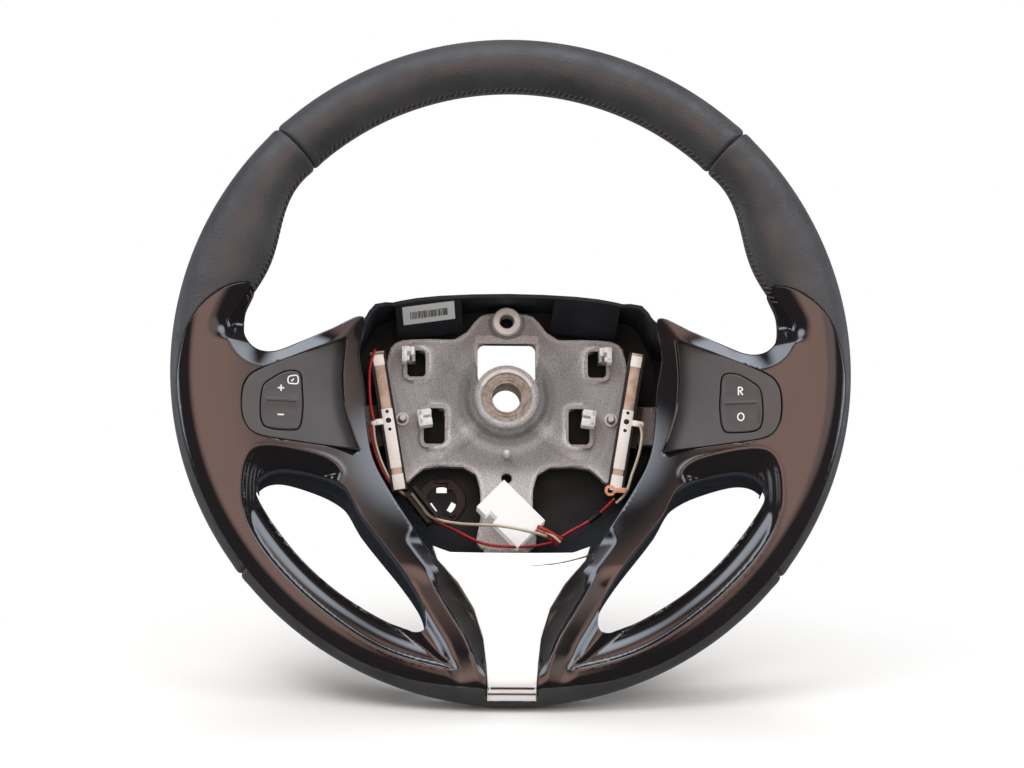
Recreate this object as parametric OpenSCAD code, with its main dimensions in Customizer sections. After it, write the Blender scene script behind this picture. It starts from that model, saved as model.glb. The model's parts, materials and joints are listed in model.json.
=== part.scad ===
// Car steering wheel, airbag module removed.
// Millimetres. X to the driver's right, Z up the wheel's face, and the driver sits on the -Y side.
// The spin axis is Y, and the origin is on it, in the rear face of the hub bush.

/* [Rim] */
// Outside diameter of the rim
rim_d = 380; // [350:1:400]
// Thickness of the rim's section
rim_tube = 31; // [28:0.5:34]
// Width of the rim where the thumbs rest
grip_w = 43; // [38:0.5:46]
// Height of the thumb rest above the middle of the wheel, in degrees
grip_angle = 23; // [18:1:28]
// Thickness of the leather and its felt
leather_t = 2.1; // [1.6:0.1:2.4]
// Half of the upper leather panel, in degrees from the top
upper_seam = 44; // [36:1:50]
// Lower seams, in degrees below the middle
lower_seam = 38; // [34:1:42]
// Width of the groove at a seam
seam_gap = 0.8; // [0.4:0.1:1.4]
// Radius of the cast ring inside the rim
ring_r = 6; // [5:0.25:7]

/* [Depth] */
// From the rim's middle plane to the front face of the hub
rim_dish = 80; // [72:1:88]
// Length of the hub bush
hub_l = 20; // [18:0.5:24]

/* [Hub] */
// Bore that takes the steering column
bore_d = 16.4; // [14:0.1:18]
// Outside diameter of the steel bush
bush_d = 29; // [26:0.5:31]
// Diameter of the step in the bush's front face
bush_step_d = 23.6; // [21:0.2:25]
// Thickness of the hub plate
plate_t = 6; // [4.5:0.25:7]
// Outside diameter of the boss above the hub
boss_d = 17; // [15:0.5:19]
// Hole of the boss above the hub
boss_hole = 8; // [6:0.1:9]
// Height of that boss above the hub's axis
boss_z = 44.4; // [42:0.2:47]
// Width of the window above the hub
window_w = 33.5; // [28:0.5:36]
// Width of the lower arm
tongue_w = 30; // [24:1:34]
// Depth of the side arms, measured up the wheel
arm_w = 22; // [18:1:26]
// Thickness of the arms
arm_t = 7; // [6:0.5:8]

/* [Trim] */
// Width of the bay between the two side trims
bay_w = 166; // [160:1:172]
// Wall of the trims and covers
wall = 2; // [1.6:0.1:2.4]
// Strip of leather left outside the trims
edge_w = 4; // [3:0.25:6]
// Width of the bright insert at the bottom of the wheel
insert_w = 27; // [22:1:32]
// Joint gap between trim pieces
joint = 0.4; // [0.3:0.05:0.6]
// How far the trims reach behind the rim's middle plane
trim_back = 8; // [6:0.5:9]

/* [Switches] */
// Width of a rocker key
key_w = 23; // [20:0.5:25]
// Height of a rocker key
key_h = 33; // [29:0.5:35]
// Diameter of the rocker's pivot pins
pin_d = 2.6; // [2:0.1:3]
// Running clearance round a pivot pin
pin_gap = 0.05; // [0.03:0.01:0.08]
// Depth of the pivot behind the key's face
pivot_depth = 4.6; // [4.2:0.1:5]

/* [Horn contacts] */
// Length of a contact strip
strip_l = 80; // [70:1:84]
// Width of a contact strip
strip_w = 5.6; // [5:0.2:7]
// Height of the strip's carrier above the hub plate
carrier_h = 16; // [12:0.5:20]

/* [Wiring] */
// Diameter of one wire
wire_d = 1.6; // [1.2:0.1:2]

/* [Hidden] */
$fn = 96;
seat = 0.1;
rim_r = rim_d / 2;
ring_at = rim_r - rim_tube / 2;
crest = rim_tube / 2;
rim_y = -hub_l - rim_dish;
plate_front = -hub_l + 1;
plate_back = plate_front + plate_t;
inner_r = rim_r - rim_tube;
cover_floor = -1.5;
side_arm_z = -16;

// Geometry helpers
function unit(v) = v / norm(v);
function polar(r, a) = [r * cos(a), r * sin(a)];
function wrap(i, n) = (i + n) % n;
function catmull(a, b, c, d, t) =
    0.5 * (2 * b + (c - a) * t + (2 * a - 5 * b + 4 * c - d) * t * t + (3 * b - a - 3 * c + d) * t * t * t);
function closed_curve(p, n) = [
    for (i = [0 : len(p) - 1], k = [0 : n - 1])
        catmull(p[wrap(i - 1, len(p))], p[i], p[wrap(i + 1, len(p))], p[wrap(i + 2, len(p))], k / n)
];
function open_curve(p, n) = concat([
    for (i = [0 : len(p) - 2], k = [0 : n - 1])
        catmull(p[max(i - 1, 0)], p[i], p[i + 1], p[min(i + 2, len(p) - 1)], k / n)
], [p[len(p) - 1]]);
function outward(p, i) =
    let (e = unit(p[wrap(i + 1, len(p))] - p[wrap(i - 1, len(p))])) [e[1], -e[0]];
function grown(p, d) = [for (i = [0 : len(p) - 1]) p[i] + d * outward(p, i)];

// Stand a drawing of the wheel's face up, from depth y_back towards the driver by t
module stand(y_back, t) {
    translate([0, y_back, 0]) rotate([90, 0, 0]) linear_extrude(t) children();
}

// A drawing of half a section, radius across and distance towards the driver up, turned about the spin axis
module turn(from_y, start = 0, sweep = 360) {
    translate([0, from_y, 0]) rotate([90, 0, 0]) rotate([0, 0, start]) rotate_extrude(angle = sweep) children();
}

// Closed skin over rings of points, all rings with the same count
module skin(rings, closed = false) {
    n = len(rings);
    m = len(rings[0]);
    points = [for (r = rings, p = r) p];
    last = closed ? n - 1 : n - 2;
    sides = [for (i = [0 : last], k = [0 : m - 1]) let (
        a = i * m + k, b = i * m + wrap(k + 1, m),
        c = wrap(i + 1, n) * m + wrap(k + 1, m), d = wrap(i + 1, n) * m + k
    ) [a, b, c, d]];
    ends = closed ? [] : [
        [for (k = [m - 1 : -1 : 0]) k],
        [for (k = [0 : m - 1]) (n - 1) * m + k],
    ];
    polyhedron(points = points, faces = concat(sides, ends), convexity = 8);
}

// Height of the trims' face over the rim's middle plane, at radius r
face_fall = 0.0026;
function face(r) = r < ring_at
    ? crest - face_fall * pow(ring_at - r, 2)
    : sqrt(max(pow(crest, 2) - pow(r - ring_at, 2), 0));
face_r0 = 64;
face_steps = 12;
crest_steps = 8;
face_base = -40;
module face_section(drop) {
    spoke = [for (i = [0 : face_steps - 1]) let (r = face_r0 + (ring_at - face_r0) * i / face_steps) [r, face(r) - drop]];
    over_rim = [for (i = [0 : crest_steps]) let (a = 84 * i / crest_steps)
        [ring_at + crest * sin(a), crest * cos(a) - drop]];
    polygon(concat([[face_r0, face_base]], spoke, over_rim, [[ring_at + crest * sin(84), face_base]]));
}

// Rim
grip_spread = 87 - upper_seam - grip_angle;
function grip_rise(a) = let (d = (a - grip_angle) / grip_spread) abs(d) < 1 ? pow(cos(90 * d), 2) : 0;
function rim_width(a) = rim_tube + (grip_w - rim_tube) * grip_rise(a);
function rim_ring(a, up, inset, sides) = let (
    half = rim_width(up) / 2 - inset, across = rim_tube / 2 - inset, at = rim_r - rim_width(up) / 2
) [for (k = [0 : sides - 1]) let (s = 360 * k / sides, r = at + half * cos(s))
    [r * cos(a), rim_y - across * sin(s), r * sin(a)]];

grip_steps = 22;
function grip_turn(i) = 90 + upper_seam + (90 + lower_seam - upper_seam) * i / grip_steps;
foam_angles = concat(
    [for (i = [0 : grip_steps]) grip_turn(i)],
    [for (k = [1 : 16]) grip_turn(grip_steps) + (180 - 2 * lower_seam) * k / 17],
    [for (i = [grip_steps : -1 : 0]) 540 - grip_turn(i)],
    [for (k = [1 : 14]) 540 - grip_turn(0) + 2 * upper_seam * k / 15]
);

module rim_foam() {
    color("#202022") difference() {
        skin([for (a = foam_angles) rim_ring(a, asin(sin(a)), leather_t + 6 * seat, 14)], true);
        rotate([90, 0, 0]) translate([0, 0, -rim_y]) rotate_extrude($fn = 72)
            translate([ring_at, 0]) circle(ring_r + 4 * seat, $fn = 24);
        arms(0.4);
    }
}

module leather_section() {
    translate([ring_at, 0]) difference() {
        circle(rim_tube / 2);
        circle(rim_tube / 2 - leather_t);
    }
}

// Half the groove at a seam, as an angle
half_gap = asin(seam_gap / 2 / rim_r);

module leather_upper() {
    color("#2b2b2e") turn(rim_y, 90 - upper_seam + half_gap, 2 * (upper_seam - half_gap)) leather_section();
}

module trim_clearance() {
    for (side = [0, 1]) mirror([side, 0, 0])
        stand(rim_y + trim_back + joint, 40) polygon(grown(trim_outline, joint));
    stand(rim_y + trim_back + joint, 40) polygon(grown(insert_outline, joint));
}

module leather_lower() {
    color("#262628") difference() {
        turn(rim_y, 180 + lower_seam + half_gap, 180 - 2 * (lower_seam + half_gap)) leather_section();
        trim_clearance();
        arms(0.4);
    }
}

module leather_left_grip() {
    from = 90 + upper_seam + half_gap;
    to = 180 + lower_seam - half_gap;
    color("#2b2b2e") difference() {
        skin([for (i = [0 : grip_steps]) let (a = from + (to - from) * i / grip_steps) rim_ring(a, 180 - a, 0, 20)]);
        skin([for (i = concat([-0.5], [for (k = [1 : grip_steps - 1]) k], [grip_steps + 0.5]))
            let (a = from + (to - from) * i / grip_steps) rim_ring(a, 180 - a, leather_t, 20)]);
        trim_clearance();
        arms(0.4);
    }
}

module leather_right_grip() {
    mirror([1, 0, 0]) leather_left_grip();
}

// Side trims: outline, hand opening, and the point that each section bends towards on its way between them
half_bay = bay_w / 2;
edge_r = rim_r - edge_w;
insert_side = -insert_w / 2 - joint;
function straight(outer, inner) = [outer, inner, (outer + inner) / 2];

// A point drawn for the rim's own inside radius, moved along its radius when the rim is another size
hub_reach = 80;
drawn_inner_r = 159;
function fitted(p) = let (r = norm(p)) r < hub_reach
    ? p
    : p * (hub_reach + (r - hub_reach) * (inner_r - hub_reach) / (drawn_inner_r - hub_reach)) / r;
trim_pairs = [
    straight(polar(edge_r, 196), fitted([-140.2, -67])),
    straight(polar(edge_r, 204), polar(inner_r, 207.5)),
    straight(polar(edge_r, 213), polar(inner_r, 214)),
    straight(polar(edge_r, 223), polar(inner_r, 223)),
    straight(polar(edge_r, 233), polar(inner_r, 232)),
    straight(polar(edge_r, 243), polar(inner_r, 241)),
    straight(polar(edge_r - 1, 252), polar(inner_r + 0.4, 248.5)),
    straight(polar(edge_r - 3, 259), fitted([-53, -150.5])),
    straight(polar(edge_r - 4, 264.3), fitted([-49.2, -150])),
    straight([insert_side, -edge_r + 5], fitted([-47.4, -147])),
    straight([insert_side - 0.8, -169], fitted([-47.4, -142.5])),
    straight([insert_side - 2.5, -154], fitted([-48.5, -137])),
    straight(fitted([-21.5, -137]), fitted([-51, -130.5])),
    straight(fitted([-30, -122.5]), fitted([-56.5, -121])),
    straight(fitted([-41.5, -109]), fitted([-64, -110])),
    straight(fitted([-54, -91]), fitted([-73.5, -97.5])),
    straight([13 - half_bay, -65], fitted([-83.5, -84])),
    straight([6 - half_bay, -50], fitted([-88.5, -74.5])),
    straight([3 - half_bay, -34], fitted([-92, -69])),
    straight([1.5 - half_bay, -12], fitted([-95.5, -66.2])),
    straight([-1.5 - half_bay, 8], fitted([-99.5, -64])),
    straight([0.5 - half_bay, 30], fitted([-104, -62.2])),
    straight(fitted([-101, 22.2]), fitted([-109.5, -60.7])),
    straight(fitted([-117, 14.5]), fitted([-115.5, -59.4])),
    straight(fitted([-132, 8.3]), fitted([-121.5, -58.5])),
    [fitted([-142.5, 9.5]), fitted([-126, -58.2]), fitted([-138, -24])],
    [fitted([-148.6, 17.5]), fitted([-129, -58.4]), fitted([-148, -16])],
    [fitted([-148.8, 31]), fitted([-131.6, -58.9]), fitted([-158, -8])],
    [polar(inner_r - 8, 162.7), fitted([-133.8, -59.7]), fitted([-168, -2])],
    [polar(edge_r - 23, 164.6), fitted([-135.6, -60.6]), fitted([-169, -4])],
    [polar(edge_r - 12, 168.7), fitted([-137.1, -61.6]), fitted([-166, -10])],
    [polar(edge_r - 5, 173.3), fitted([-138.4, -62.7]), fitted([-165, -18])],
    [polar(edge_r - 2, 178), fitted([-139.4, -63.8]), fitted([-164, -28])],
    straight(polar(edge_r, 183), fitted([-140.2, -64.7])),
    straight(polar(edge_r, 189.5), fitted([-140.8, -65.7])),
];
trim_outline = closed_curve([for (p = trim_pairs) p[0]], 2);
opening_outline = closed_curve([for (p = trim_pairs) p[1]], 2);
trim_bend = closed_curve([for (p = trim_pairs) p[2]], 2);
function bent(a, c, b, t) = a * pow(1 - t, 2) + 2 * c * t * (1 - t) + b * pow(t, 2);

// Round edge of radius r, at distance d from the edge
function rounded(d, r) = d >= r ? 0 : r - sqrt(pow(r, 2) - pow(r - d, 2));

// One section of the trim between the opening and the outline: face, walls and hollow back
function trim_section(inner, bend, outer) = let (
    span = norm(outer - inner),
    beside_insert = outer[1] < -inner_r * 0.9 && norm(outer) > inner_r - 6,
    bare_edge = norm(outer) > rim_r - 26 || beside_insert || (outer[0] < -120 && outer[1] > 25),
    inner_round = norm(inner) > inner_r - 4 ? crest : 6,
    outer_round = bare_edge ? 0.4 : 2.5,
    middle = min(13, span * 0.5),
    stops = concat([0, 1, 3.2, 7], [for (k = [0 : 4]) middle + (span - 2.6 - middle) * k / 4], [span - 0.8, span]),
    at = [for (d = stops) bent(inner, bend, outer, d / span)],
    height = [for (k = [0 : 10])
        face(norm(at[k])) - rounded(stops[k], inner_round) - rounded(span - stops[k], outer_round)],
    low_in = bent(inner, bend, outer, wall / span),
    low_out = bent(inner, bend, outer, 1 - (bare_edge ? 0.4 : wall) / span),
    low_back = bare_edge ? height[10] - wall : -trim_back
) concat(
    [[inner, -trim_back]], [for (k = [0 : 10]) [at[k], height[k]]], [[outer, low_back]],
    [[low_out, bare_edge ? height[9] - wall - 0.3 : -trim_back]],
    [[bent(inner, bend, outer, 1 - (bare_edge ? 1.6 : wall + 0.4) / span), height[8] - wall]],
    [for (k = [7 : -1 : 3]) [at[k], height[k] - wall]],
    [[bent(inner, bend, outer, (wall + 0.6) / span), height[2] - wall], [low_in, height[1] - wall], [low_in, -trim_back]]
);

module left_trim() {
    color("#0d0b0b") difference() {
        skin([for (i = [0 : len(trim_outline) - 1])
            [for (p = trim_section(opening_outline[i], trim_bend[i], trim_outline[i]))
                [p[0][0], rim_y - p[1], p[0][1]]]], true);
        stand(rim_y + trim_back + 1, 40) polygon(grown(panel_outline, joint));
    }
}

module right_trim() {
    mirror([1, 0, 0]) left_trim();
}

// Switch panels
panel_outline = closed_curve([for (p = [
    [-93, 15.8], [-117, 6.3], [-139, -3.4], [-147, -10], [-149.4, -20], [-147.8, -33], [-140, -40.5],
    [-117, -43.6], [-88, -46.3], [-88.5, -37], [-92.8, -24], [-94.6, -6],
]) fitted(p)], 4);
key_x = fitted([-127.6, -20.8])[0];
key_z = fitted([-127.6, -20.8])[1];
key_tilt = 13;
key_outline = closed_curve([
    [-0.5, -0.12], [-0.46, -0.38], [-0.3, -0.48], [0.2, -0.5], [0.43, -0.44], [0.5, -0.1], [0.48, 0.2],
    [0.42, 0.48], [0.12, 0.5], [-0.22, 0.37], [-0.44, 0.22],
], 4);
function key_shape(extra) = grown([for (p = key_outline) [key_x + key_w * p[0], key_z + key_h * p[1]]], extra);
key_face = face(norm([key_x, key_z]));

module at_key() {
    translate([key_x, rim_y - key_face, key_z]) rotate([0, 0, key_tilt]) children();
}

module left_switch_panel() {
    color("#2e2e31") difference() {
        intersection() {
            stand(rim_y + 20, 60) polygon(panel_outline);
            difference() {
                turn(rim_y) face_section(0.3);
                turn(rim_y) face_section(0.3 + wall);
            }
        }
        stand(rim_y + 21, 62) polygon(key_shape(joint));
    }
}

module right_switch_panel() {
    mirror([1, 0, 0]) left_switch_panel();
}

rocker_skirt = 7;
module left_rocker() {
    color("#35353a") {
        intersection() {
            stand(rim_y + 20, 60) polygon(key_shape(0));
            difference() {
                turn(rim_y) face_section(-0.3);
                turn(rim_y) face_section(-0.3 + wall);
            }
        }
        at_key() {
            translate([-key_w * 0.36, 1.4, -6]) cube([key_w * 0.72, rocker_skirt - 1.4, 12]);
            translate([-key_w / 2 - 3, pivot_depth, 0]) rotate([0, 90, 0]) cylinder(d = pin_d, h = key_w + 6, $fn = 48);
        }
    }
}

module right_rocker() {
    mirror([1, 0, 0]) left_rocker();
}

body_w = 38;
body_h = 40;
body_d = 12;
module left_switch_body() {
    color("#161618") difference() {
        at_key() {
            translate([-body_w / 2, 2.9, -body_h / 2]) cube([body_w, body_d, body_h]);
            translate([-9, 2.9 + body_d, -6]) cube([18, 8, 12]);
        }
        at_key() {
            translate([-key_w / 2 - 0.6, 1, -key_h / 2 - 1]) cube([key_w + 1.2, 9.5, key_h + 2]);
            translate([-body_w, pivot_depth, 0]) rotate([0, 90, 0])
                cylinder(d = pin_d + 2 * pin_gap, h = 2 * body_w, $fn = 48);
            translate([-7.5, 2.9 + body_d + 1.5, -4.5]) cube([15, 8, 9]);
        }
        turn(rim_y) difference() {
            square([rim_r, 60]);
            face_section(0.3 + wall + seat);
        }
    }
}

module right_switch_body() {
    mirror([1, 0, 0]) left_switch_body();
}

// Bright insert below the bay
insert_top = -104.5;
insert_half = [fitted([-34, insert_top]), fitted([-43.5, insert_top + 3.5])];
insert_edge = [for (k = [15 : -1 : 9]) trim_pairs[k][0] + [joint + (k == 15 ? 0.6 : 0.2), k == 15 ? -1 : 0]];
insert_outline = concat(
    insert_half, insert_edge, [[-insert_w / 2, -rim_r + 2.2]],
    [[insert_w / 2, -rim_r + 2.2]], [for (k = [len(insert_edge) - 1 : -1 : 0]) [-insert_edge[k][0], insert_edge[k][1]]],
    [for (k = [1 : -1 : 0]) [-insert_half[k][0], insert_half[k][1]]]
);

module lower_insert() {
    color("#e8e8ea") difference() {
        intersection() {
            stand(rim_y + trim_back, 60) polygon(insert_outline);
            turn(rim_y) face_section(0.5);
        }
        intersection() {
            stand(rim_y + trim_back + 1, 62) polygon(grown(insert_outline, wall));
            turn(rim_y) face_section(0.5 + wall - 0.3);
        }
    }
}

// Back cover: a bowl behind the hub that runs out along the spokes
cover_edge_r = inner_r - 3;
flat_r = 88;
cover_rise = (-rim_y - 30 + cover_floor) / (cover_edge_r - flat_r);
module bowl_section(inset, front, edge) {
    floor_y = -cover_floor + inset;
    polygon([
        [0, floor_y], [flat_r, floor_y], [edge, floor_y + cover_rise * (edge - flat_r)], [edge, front], [0, front],
    ]);
}

cover_half = [
    [0, 56], [-39, 54.6], [-62, 51.4], [-76, 46.5], [-82, 36], [-88, 27], [-101, 22.2], [-117, 14.5], [-132, 8.3],
    [-143, 9.5], [-160, 16], [-178, 4], [-178, -40], [-160, -100], [-120, -150], [-60, -178], [0, -184],
];
cover_outline = closed_curve([for (p = concat(cover_half,
    [for (k = [len(cover_half) - 2 : -1 : 1]) [-cover_half[k][0], cover_half[k][1]]])) fitted(p)], 2);

module cover_drawing(inset) {
    difference() {
        polygon(grown(cover_outline, -inset));
        for (side = [0, 1]) mirror([side, 0]) polygon(grown(opening_outline, inset));
    }
}

cover_front = -rim_y - trim_back - 0.3;
lip_front = 43;
flap_w = 17;
flap_root = 7;
module bowl_mouth() {
    translate([0, 0, -62]) linear_extrude(130) polygon([
        [-half_bay - flap_root, -cover_front - 1], [2 - half_bay, -lip_front - 20], [flap_w - half_bay, -lip_front],
        [half_bay - flap_w, -lip_front], [half_bay - 2, -lip_front - 20], [half_bay + flap_root, -cover_front - 1],
    ]);
}

// Sloped wall under the bowl's upper lip, on which the label is stuck
ramp_at = [-46, 52.4];
ramp_deep = 29;
ramp_drop = 15.5;
ramp_w = 38;
ramp_t = 1.4;
ramp_turn = 8;
module at_ramp() {
    translate([ramp_at[0], -lip_front, ramp_at[1]]) rotate([0, -ramp_turn, 0]) children();
}

module ramp() {
    at_ramp() translate([-ramp_w / 2, 0, 0]) rotate([90, 0, 90]) linear_extrude(ramp_w) polygon([
        [0, 0], [ramp_deep, -ramp_drop], [ramp_deep + ramp_t, -ramp_drop], [ramp_deep + ramp_t, ramp_t - ramp_drop],
        [ramp_t, ramp_t], [0, ramp_t],
    ]);
}

module back_cover() {
    color("#141416") {
        bowl();
        intersection() {
            for (side = [0, 1]) mirror([side, 0, 0]) ramp();
            rotate([90, 0, 0]) linear_extrude(cover_front) cover_drawing(wall / 2);
        }
    }
}

module bowl() {
    difference() {
        intersection() {
            rotate([90, 0, 0]) linear_extrude(cover_front) cover_drawing(0);
            rotate([90, 0, 0]) rotate_extrude() bowl_section(0, 120, cover_edge_r);
        }
        intersection() {
            translate([0, 1, 0]) rotate([90, 0, 0]) linear_extrude(cover_front + 2) cover_drawing(wall);
            rotate([90, 0, 0]) rotate_extrude() bowl_section(wall, 121, cover_edge_r + 12);
        }
        bowl_mouth();
        translate([-50, -lip_front - 60, -100]) cube([100, 60, 60]);
        translate([0, 0, 1]) rotate([90, 0, 0]) translate([0, 0, -5]) cylinder(d = column_hole, h = 12);
        for (p = cover_screw_at) translate([p[0], 5, p[1]]) rotate([90, 0, 0]) cylinder(d = screw_d + 0.8, h = 10, $fn = 32);
        for (a = [120, 235, 0]) translate([disc_at[0], 0, disc_at[1]]) rotate([0, a, 0])
            translate([-3, -6, 5]) cube([6, 10, 5.5]);
    }
}

hub_boss_d = bush_d + 9;
column_hole = 73;
disc_at = [-37, -58];
cover_screw_at = [[-46, 3], [46, 3]];
screw_d = 3.6;
screw_l = 11;

module cover_screws() {
    color("#8f9094") for (p = cover_screw_at) translate([p[0], 0, p[1]]) rotate([90, 0, 0]) {
        translate([0, 0, -cover_floor - seat - 1.7]) cylinder(d = 7.5, h = 1.7, $fn = 32);
        translate([0, 0, -cover_floor - 0.5]) cylinder(d = screw_d, h = screw_l, $fn = 32);
    }
}

// Cast armature
module arm(angle, root_r, w, extra) {
    rotate([0, -angle, 0]) {
        translate([60, plate_front, -w / 2]) cube([root_r - 60, plate_t, w]);
        hull() {
            translate([root_r, (plate_front + plate_back) / 2, 0])
                cube([6 + extra, plate_t + 2 * extra, w + 2 * extra], center = true);
            translate([ring_at, rim_y - 1, 0]) cube([6, arm_t + 2 * extra, w * 0.8 + 2 * extra], center = true);
        }
    }
}

module arms(extra) {
    for (side = [0, 1]) mirror([side, 0, 0]) translate([0, 0, side_arm_z]) arm(180, 87, arm_w, extra);
    arm(270, 92.5, tongue_w - 4, extra);
}

plate_half = [
    [-11.5, 49.3], [-18, 45.3], [-23, 38.6], [-30, 34.2], [-44, 34.2], [-60, 33.6], [-67, 29], [-70, 12], [-69, -8],
    [-67, -28], [-62, -48], [-56.5, -49.5], [-53, -46], [-47.5, -41.6], [-38, -40.2], [-25, -40.6], [-17.6, -45],
    [-tongue_w / 2, -54], [-tongue_w / 2, -88],
];
upper_pocket = [52, 19.6, 10.6, 15.6];
middle_pocket = [41.6, -17, 12.2, 21];

module pocket(p, extra) {
    translate([p[0] - p[2] / 2 + 2, p[1] - p[3] / 2 + 2])
        offset(r = 2 + extra, $fn = 24) square([p[2] - 4, p[3] - 4]);
}

module plate_drawing() {
    difference() {
        polygon(concat(plate_half, [for (k = [len(plate_half) - 1 : -1 : 0]) [-plate_half[k][0], plate_half[k][1]]]));
        difference() {
            translate([-window_w / 2, 8]) square([window_w, 24]);
            translate([0, -9.7]) circle(23.7);
        }
        for (side = [0, 1]) mirror([side, 0]) {
            pocket(upper_pocket, 0);
            pocket(middle_pocket, 0);
        }
        translate([0, -47]) circle(3);
    }
}

module armature() {
    color("#a9abad") {
        difference() {
            union() {
                stand(plate_back, plate_t) plate_drawing();
                for (side = [0, 1]) mirror([side, 0, 0]) for (p = [upper_pocket, middle_pocket])
                    stand(plate_front + 1, 3) difference() {
                        pocket(p, 2.2);
                        pocket(p, 0);
                    }
                stand(-2, hub_l - 2) circle(d = hub_boss_d);
                translate([0, plate_front - 1.5, boss_z]) rotate([-90, 0, 0]) cylinder(d = boss_d, h = plate_t + 3);
                for (side = [0, 1]) mirror([side, 0, 0]) {
                    translate([-60, plate_front + 1, -13]) rotate([90, 0, 0]) cylinder(d = 4, h = 6, $fn = 32);
                    for (p = cover_screw_at) translate([p[0], plate_back - 1, p[1]]) rotate([-90, 0, 0])
                        cylinder(d = 8, h = cover_floor - wall - seat - plate_back + 1, $fn = 32);
                    hook([-56, 24]);
                    hook([-46.5, -13]);
                }
                arms(0);
                rotate([90, 0, 0]) translate([0, 0, -rim_y]) rotate_extrude() translate([ring_at, 0]) circle(ring_r, $fn = 24);
            }
            translate([0, 3, 0]) rotate([90, 0, 0]) cylinder(d = bush_d + 0.02, h = hub_l + 10);
            translate([0, plate_front - 5, boss_z]) rotate([-90, 0, 0]) cylinder(d = boss_hole, h = plate_t + 10);
            for (p = cover_screw_at) translate([p[0], 0, p[1]]) rotate([90, 0, 0])
                cylinder(d = screw_d + 0.1, h = screw_l - cover_floor + 1, $fn = 32);
        }
    }
}

// Cast hook beside a pocket, with the slit that holds a spring wire
module hook(at) {
    translate([at[0] - 4.4, plate_front - 8, at[1] - 4.4]) difference() {
        cube([7.6, 9, 8.8]);
        translate([4.4, -1, -1]) cube([1.4, 6, 10.8]);
    }
}

module hub_bush() {
    color("#7d766f") rotate([90, 0, 0]) difference() {
        cylinder(d = bush_d, h = hub_l);
        translate([0, 0, -1]) cylinder(d = bore_d, h = hub_l + 2);
        translate([0, 0, hub_l - 1.6]) cylinder(d = bush_step_d, h = 2);
    }
}

module locating_pin() {
    color("#c9cacc") translate([0, plate_front - seat, -34]) rotate([90, 0, 0]) {
        cylinder(d = 4.2, h = 5, $fn = 48);
        translate([0, 0, 6]) sphere(d = 5, $fn = 48);
    }
}

// Horn contact strips on their plastic carriers
strip_tilt = 9.4;
carrier_at = [-68, -17];
module at_carrier() {
    translate([carrier_at[0], plate_front - seat, carrier_at[1]]) rotate([0, -strip_tilt, 0]) children();
}

carrier_w = 9;
module left_contact_carrier() {
    color("#101012") at_carrier() difference() {
        union() {
            translate([-carrier_w / 2, -carrier_h, -strip_l / 2 - 1]) cube([carrier_w, carrier_h, strip_l + 2]);
            translate([-carrier_w / 2 - 4, -5, -12]) cube([5, 5, 24]);
        }
        for (z = [-26, -9, 9, 26]) translate([-carrier_w / 2 - 1, -carrier_h + 4, z - 5])
            cube([carrier_w + 2, carrier_h - 8, 10]);
        translate([-1.7, -carrier_h - 1, -1.7]) cube([3.4, 5, 3.4]);
    }
}

module right_contact_carrier() {
    mirror([1, 0, 0]) left_contact_carrier();
}

strip_t = 0.8;
module left_contact_strip() {
    color("#d9d0bb") at_carrier() translate([0, -carrier_h - seat, 0]) difference() {
        union() {
            translate([-strip_w / 2, -strip_t, -strip_l / 2]) cube([strip_w, strip_t, strip_l]);
            translate([-10, -strip_t, -1.8]) cube([10, strip_t, 3.6]);
        }
        for (h = [[0, 3.2], [5.2, 1.6], [-5.2, 1.6]]) translate([0, 1, h[0]]) rotate([90, 0, 0])
            cylinder(d = h[1], h = 4, $fn = 24);
    }
}

module right_contact_strip() {
    mirror([1, 0, 0]) left_contact_strip();
}

// Holder of the wires at the lower end of the left carrier
carrier_end = carrier_at + (strip_l / 2 + 1) * [sin(strip_tilt), -cos(strip_tilt)];
holder_at = carrier_end + [12.3, -7.45];
holder_tilt = 38;
holder_l = 22;
holder_d = 14;
channel_d = 8;
module cable_holder() {
    color("#101012") translate([holder_at[0], plate_front - seat, holder_at[1]]) rotate([0, -holder_tilt, 0]) difference() {
        translate([-4, -holder_d, -holder_l / 2]) cube([8, holder_d, holder_l]);
        translate([-2, -holder_d - 1, -holder_l / 2 - 1]) cube([4, channel_d + 1, holder_l + 2]);
        for (z = [-5, 3]) translate([-5, 2 - holder_d, z]) cube([2, 20, 2]);
    }
}

module eyelet_terminal() {
    color("#b5835a") translate([-carrier_end[0] - 2.8, plate_front - carrier_h - 3 * seat - strip_t, carrier_end[1] + 0.45])
        rotate([90, 0, 0]) difference() {
        union() {
            cylinder(d = 6.4, h = 0.8, $fn = 32);
            translate([1, -1.4]) cube([8, 2.8, 1.4]);
        }
        translate([0, 0, -1]) cylinder(d = 3.2, h = 3, $fn = 32);
    }
}

connector_w = 22;
connector_l = 33;
connector_d = 14;
module connector() {
    color("#f1f0ea") translate([2, plate_front - seat, -70]) rotate([0, 45, 0]) difference() {
        translate([-connector_l / 2, -connector_d, -connector_w / 2]) cube([connector_l, connector_d, connector_w]);
        translate([-connector_l / 2 + 7, -connector_d - 1, -connector_w / 2 - 1]) cube([6, connector_d + 2, 5]);
    }
}

label_w = 30;
label_h = 15.5;
module paper_label() {
    color("#ececea") at_ramp() rotate([-atan(ramp_drop / ramp_deep), 0, 0]) translate([0, 4, -seat]) rotate([180, 0, 0])
        translate([-label_w / 2, -label_h, 0]) cube([label_w, label_h, 0.3]);
}

// Wires
function wire_rings(p, d, sides) = [for (i = [0 : len(p) - 1]) let (
    t = unit(p[min(i + 1, len(p) - 1)] - p[max(i - 1, 0)]), u = unit(cross(t, [0, 1, 0])), v = cross(t, u)
) [for (k = [0 : sides - 1]) p[i] + d / 2 * (cos(360 * k / sides) * u + sin(360 * k / sides) * v)]];

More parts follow.
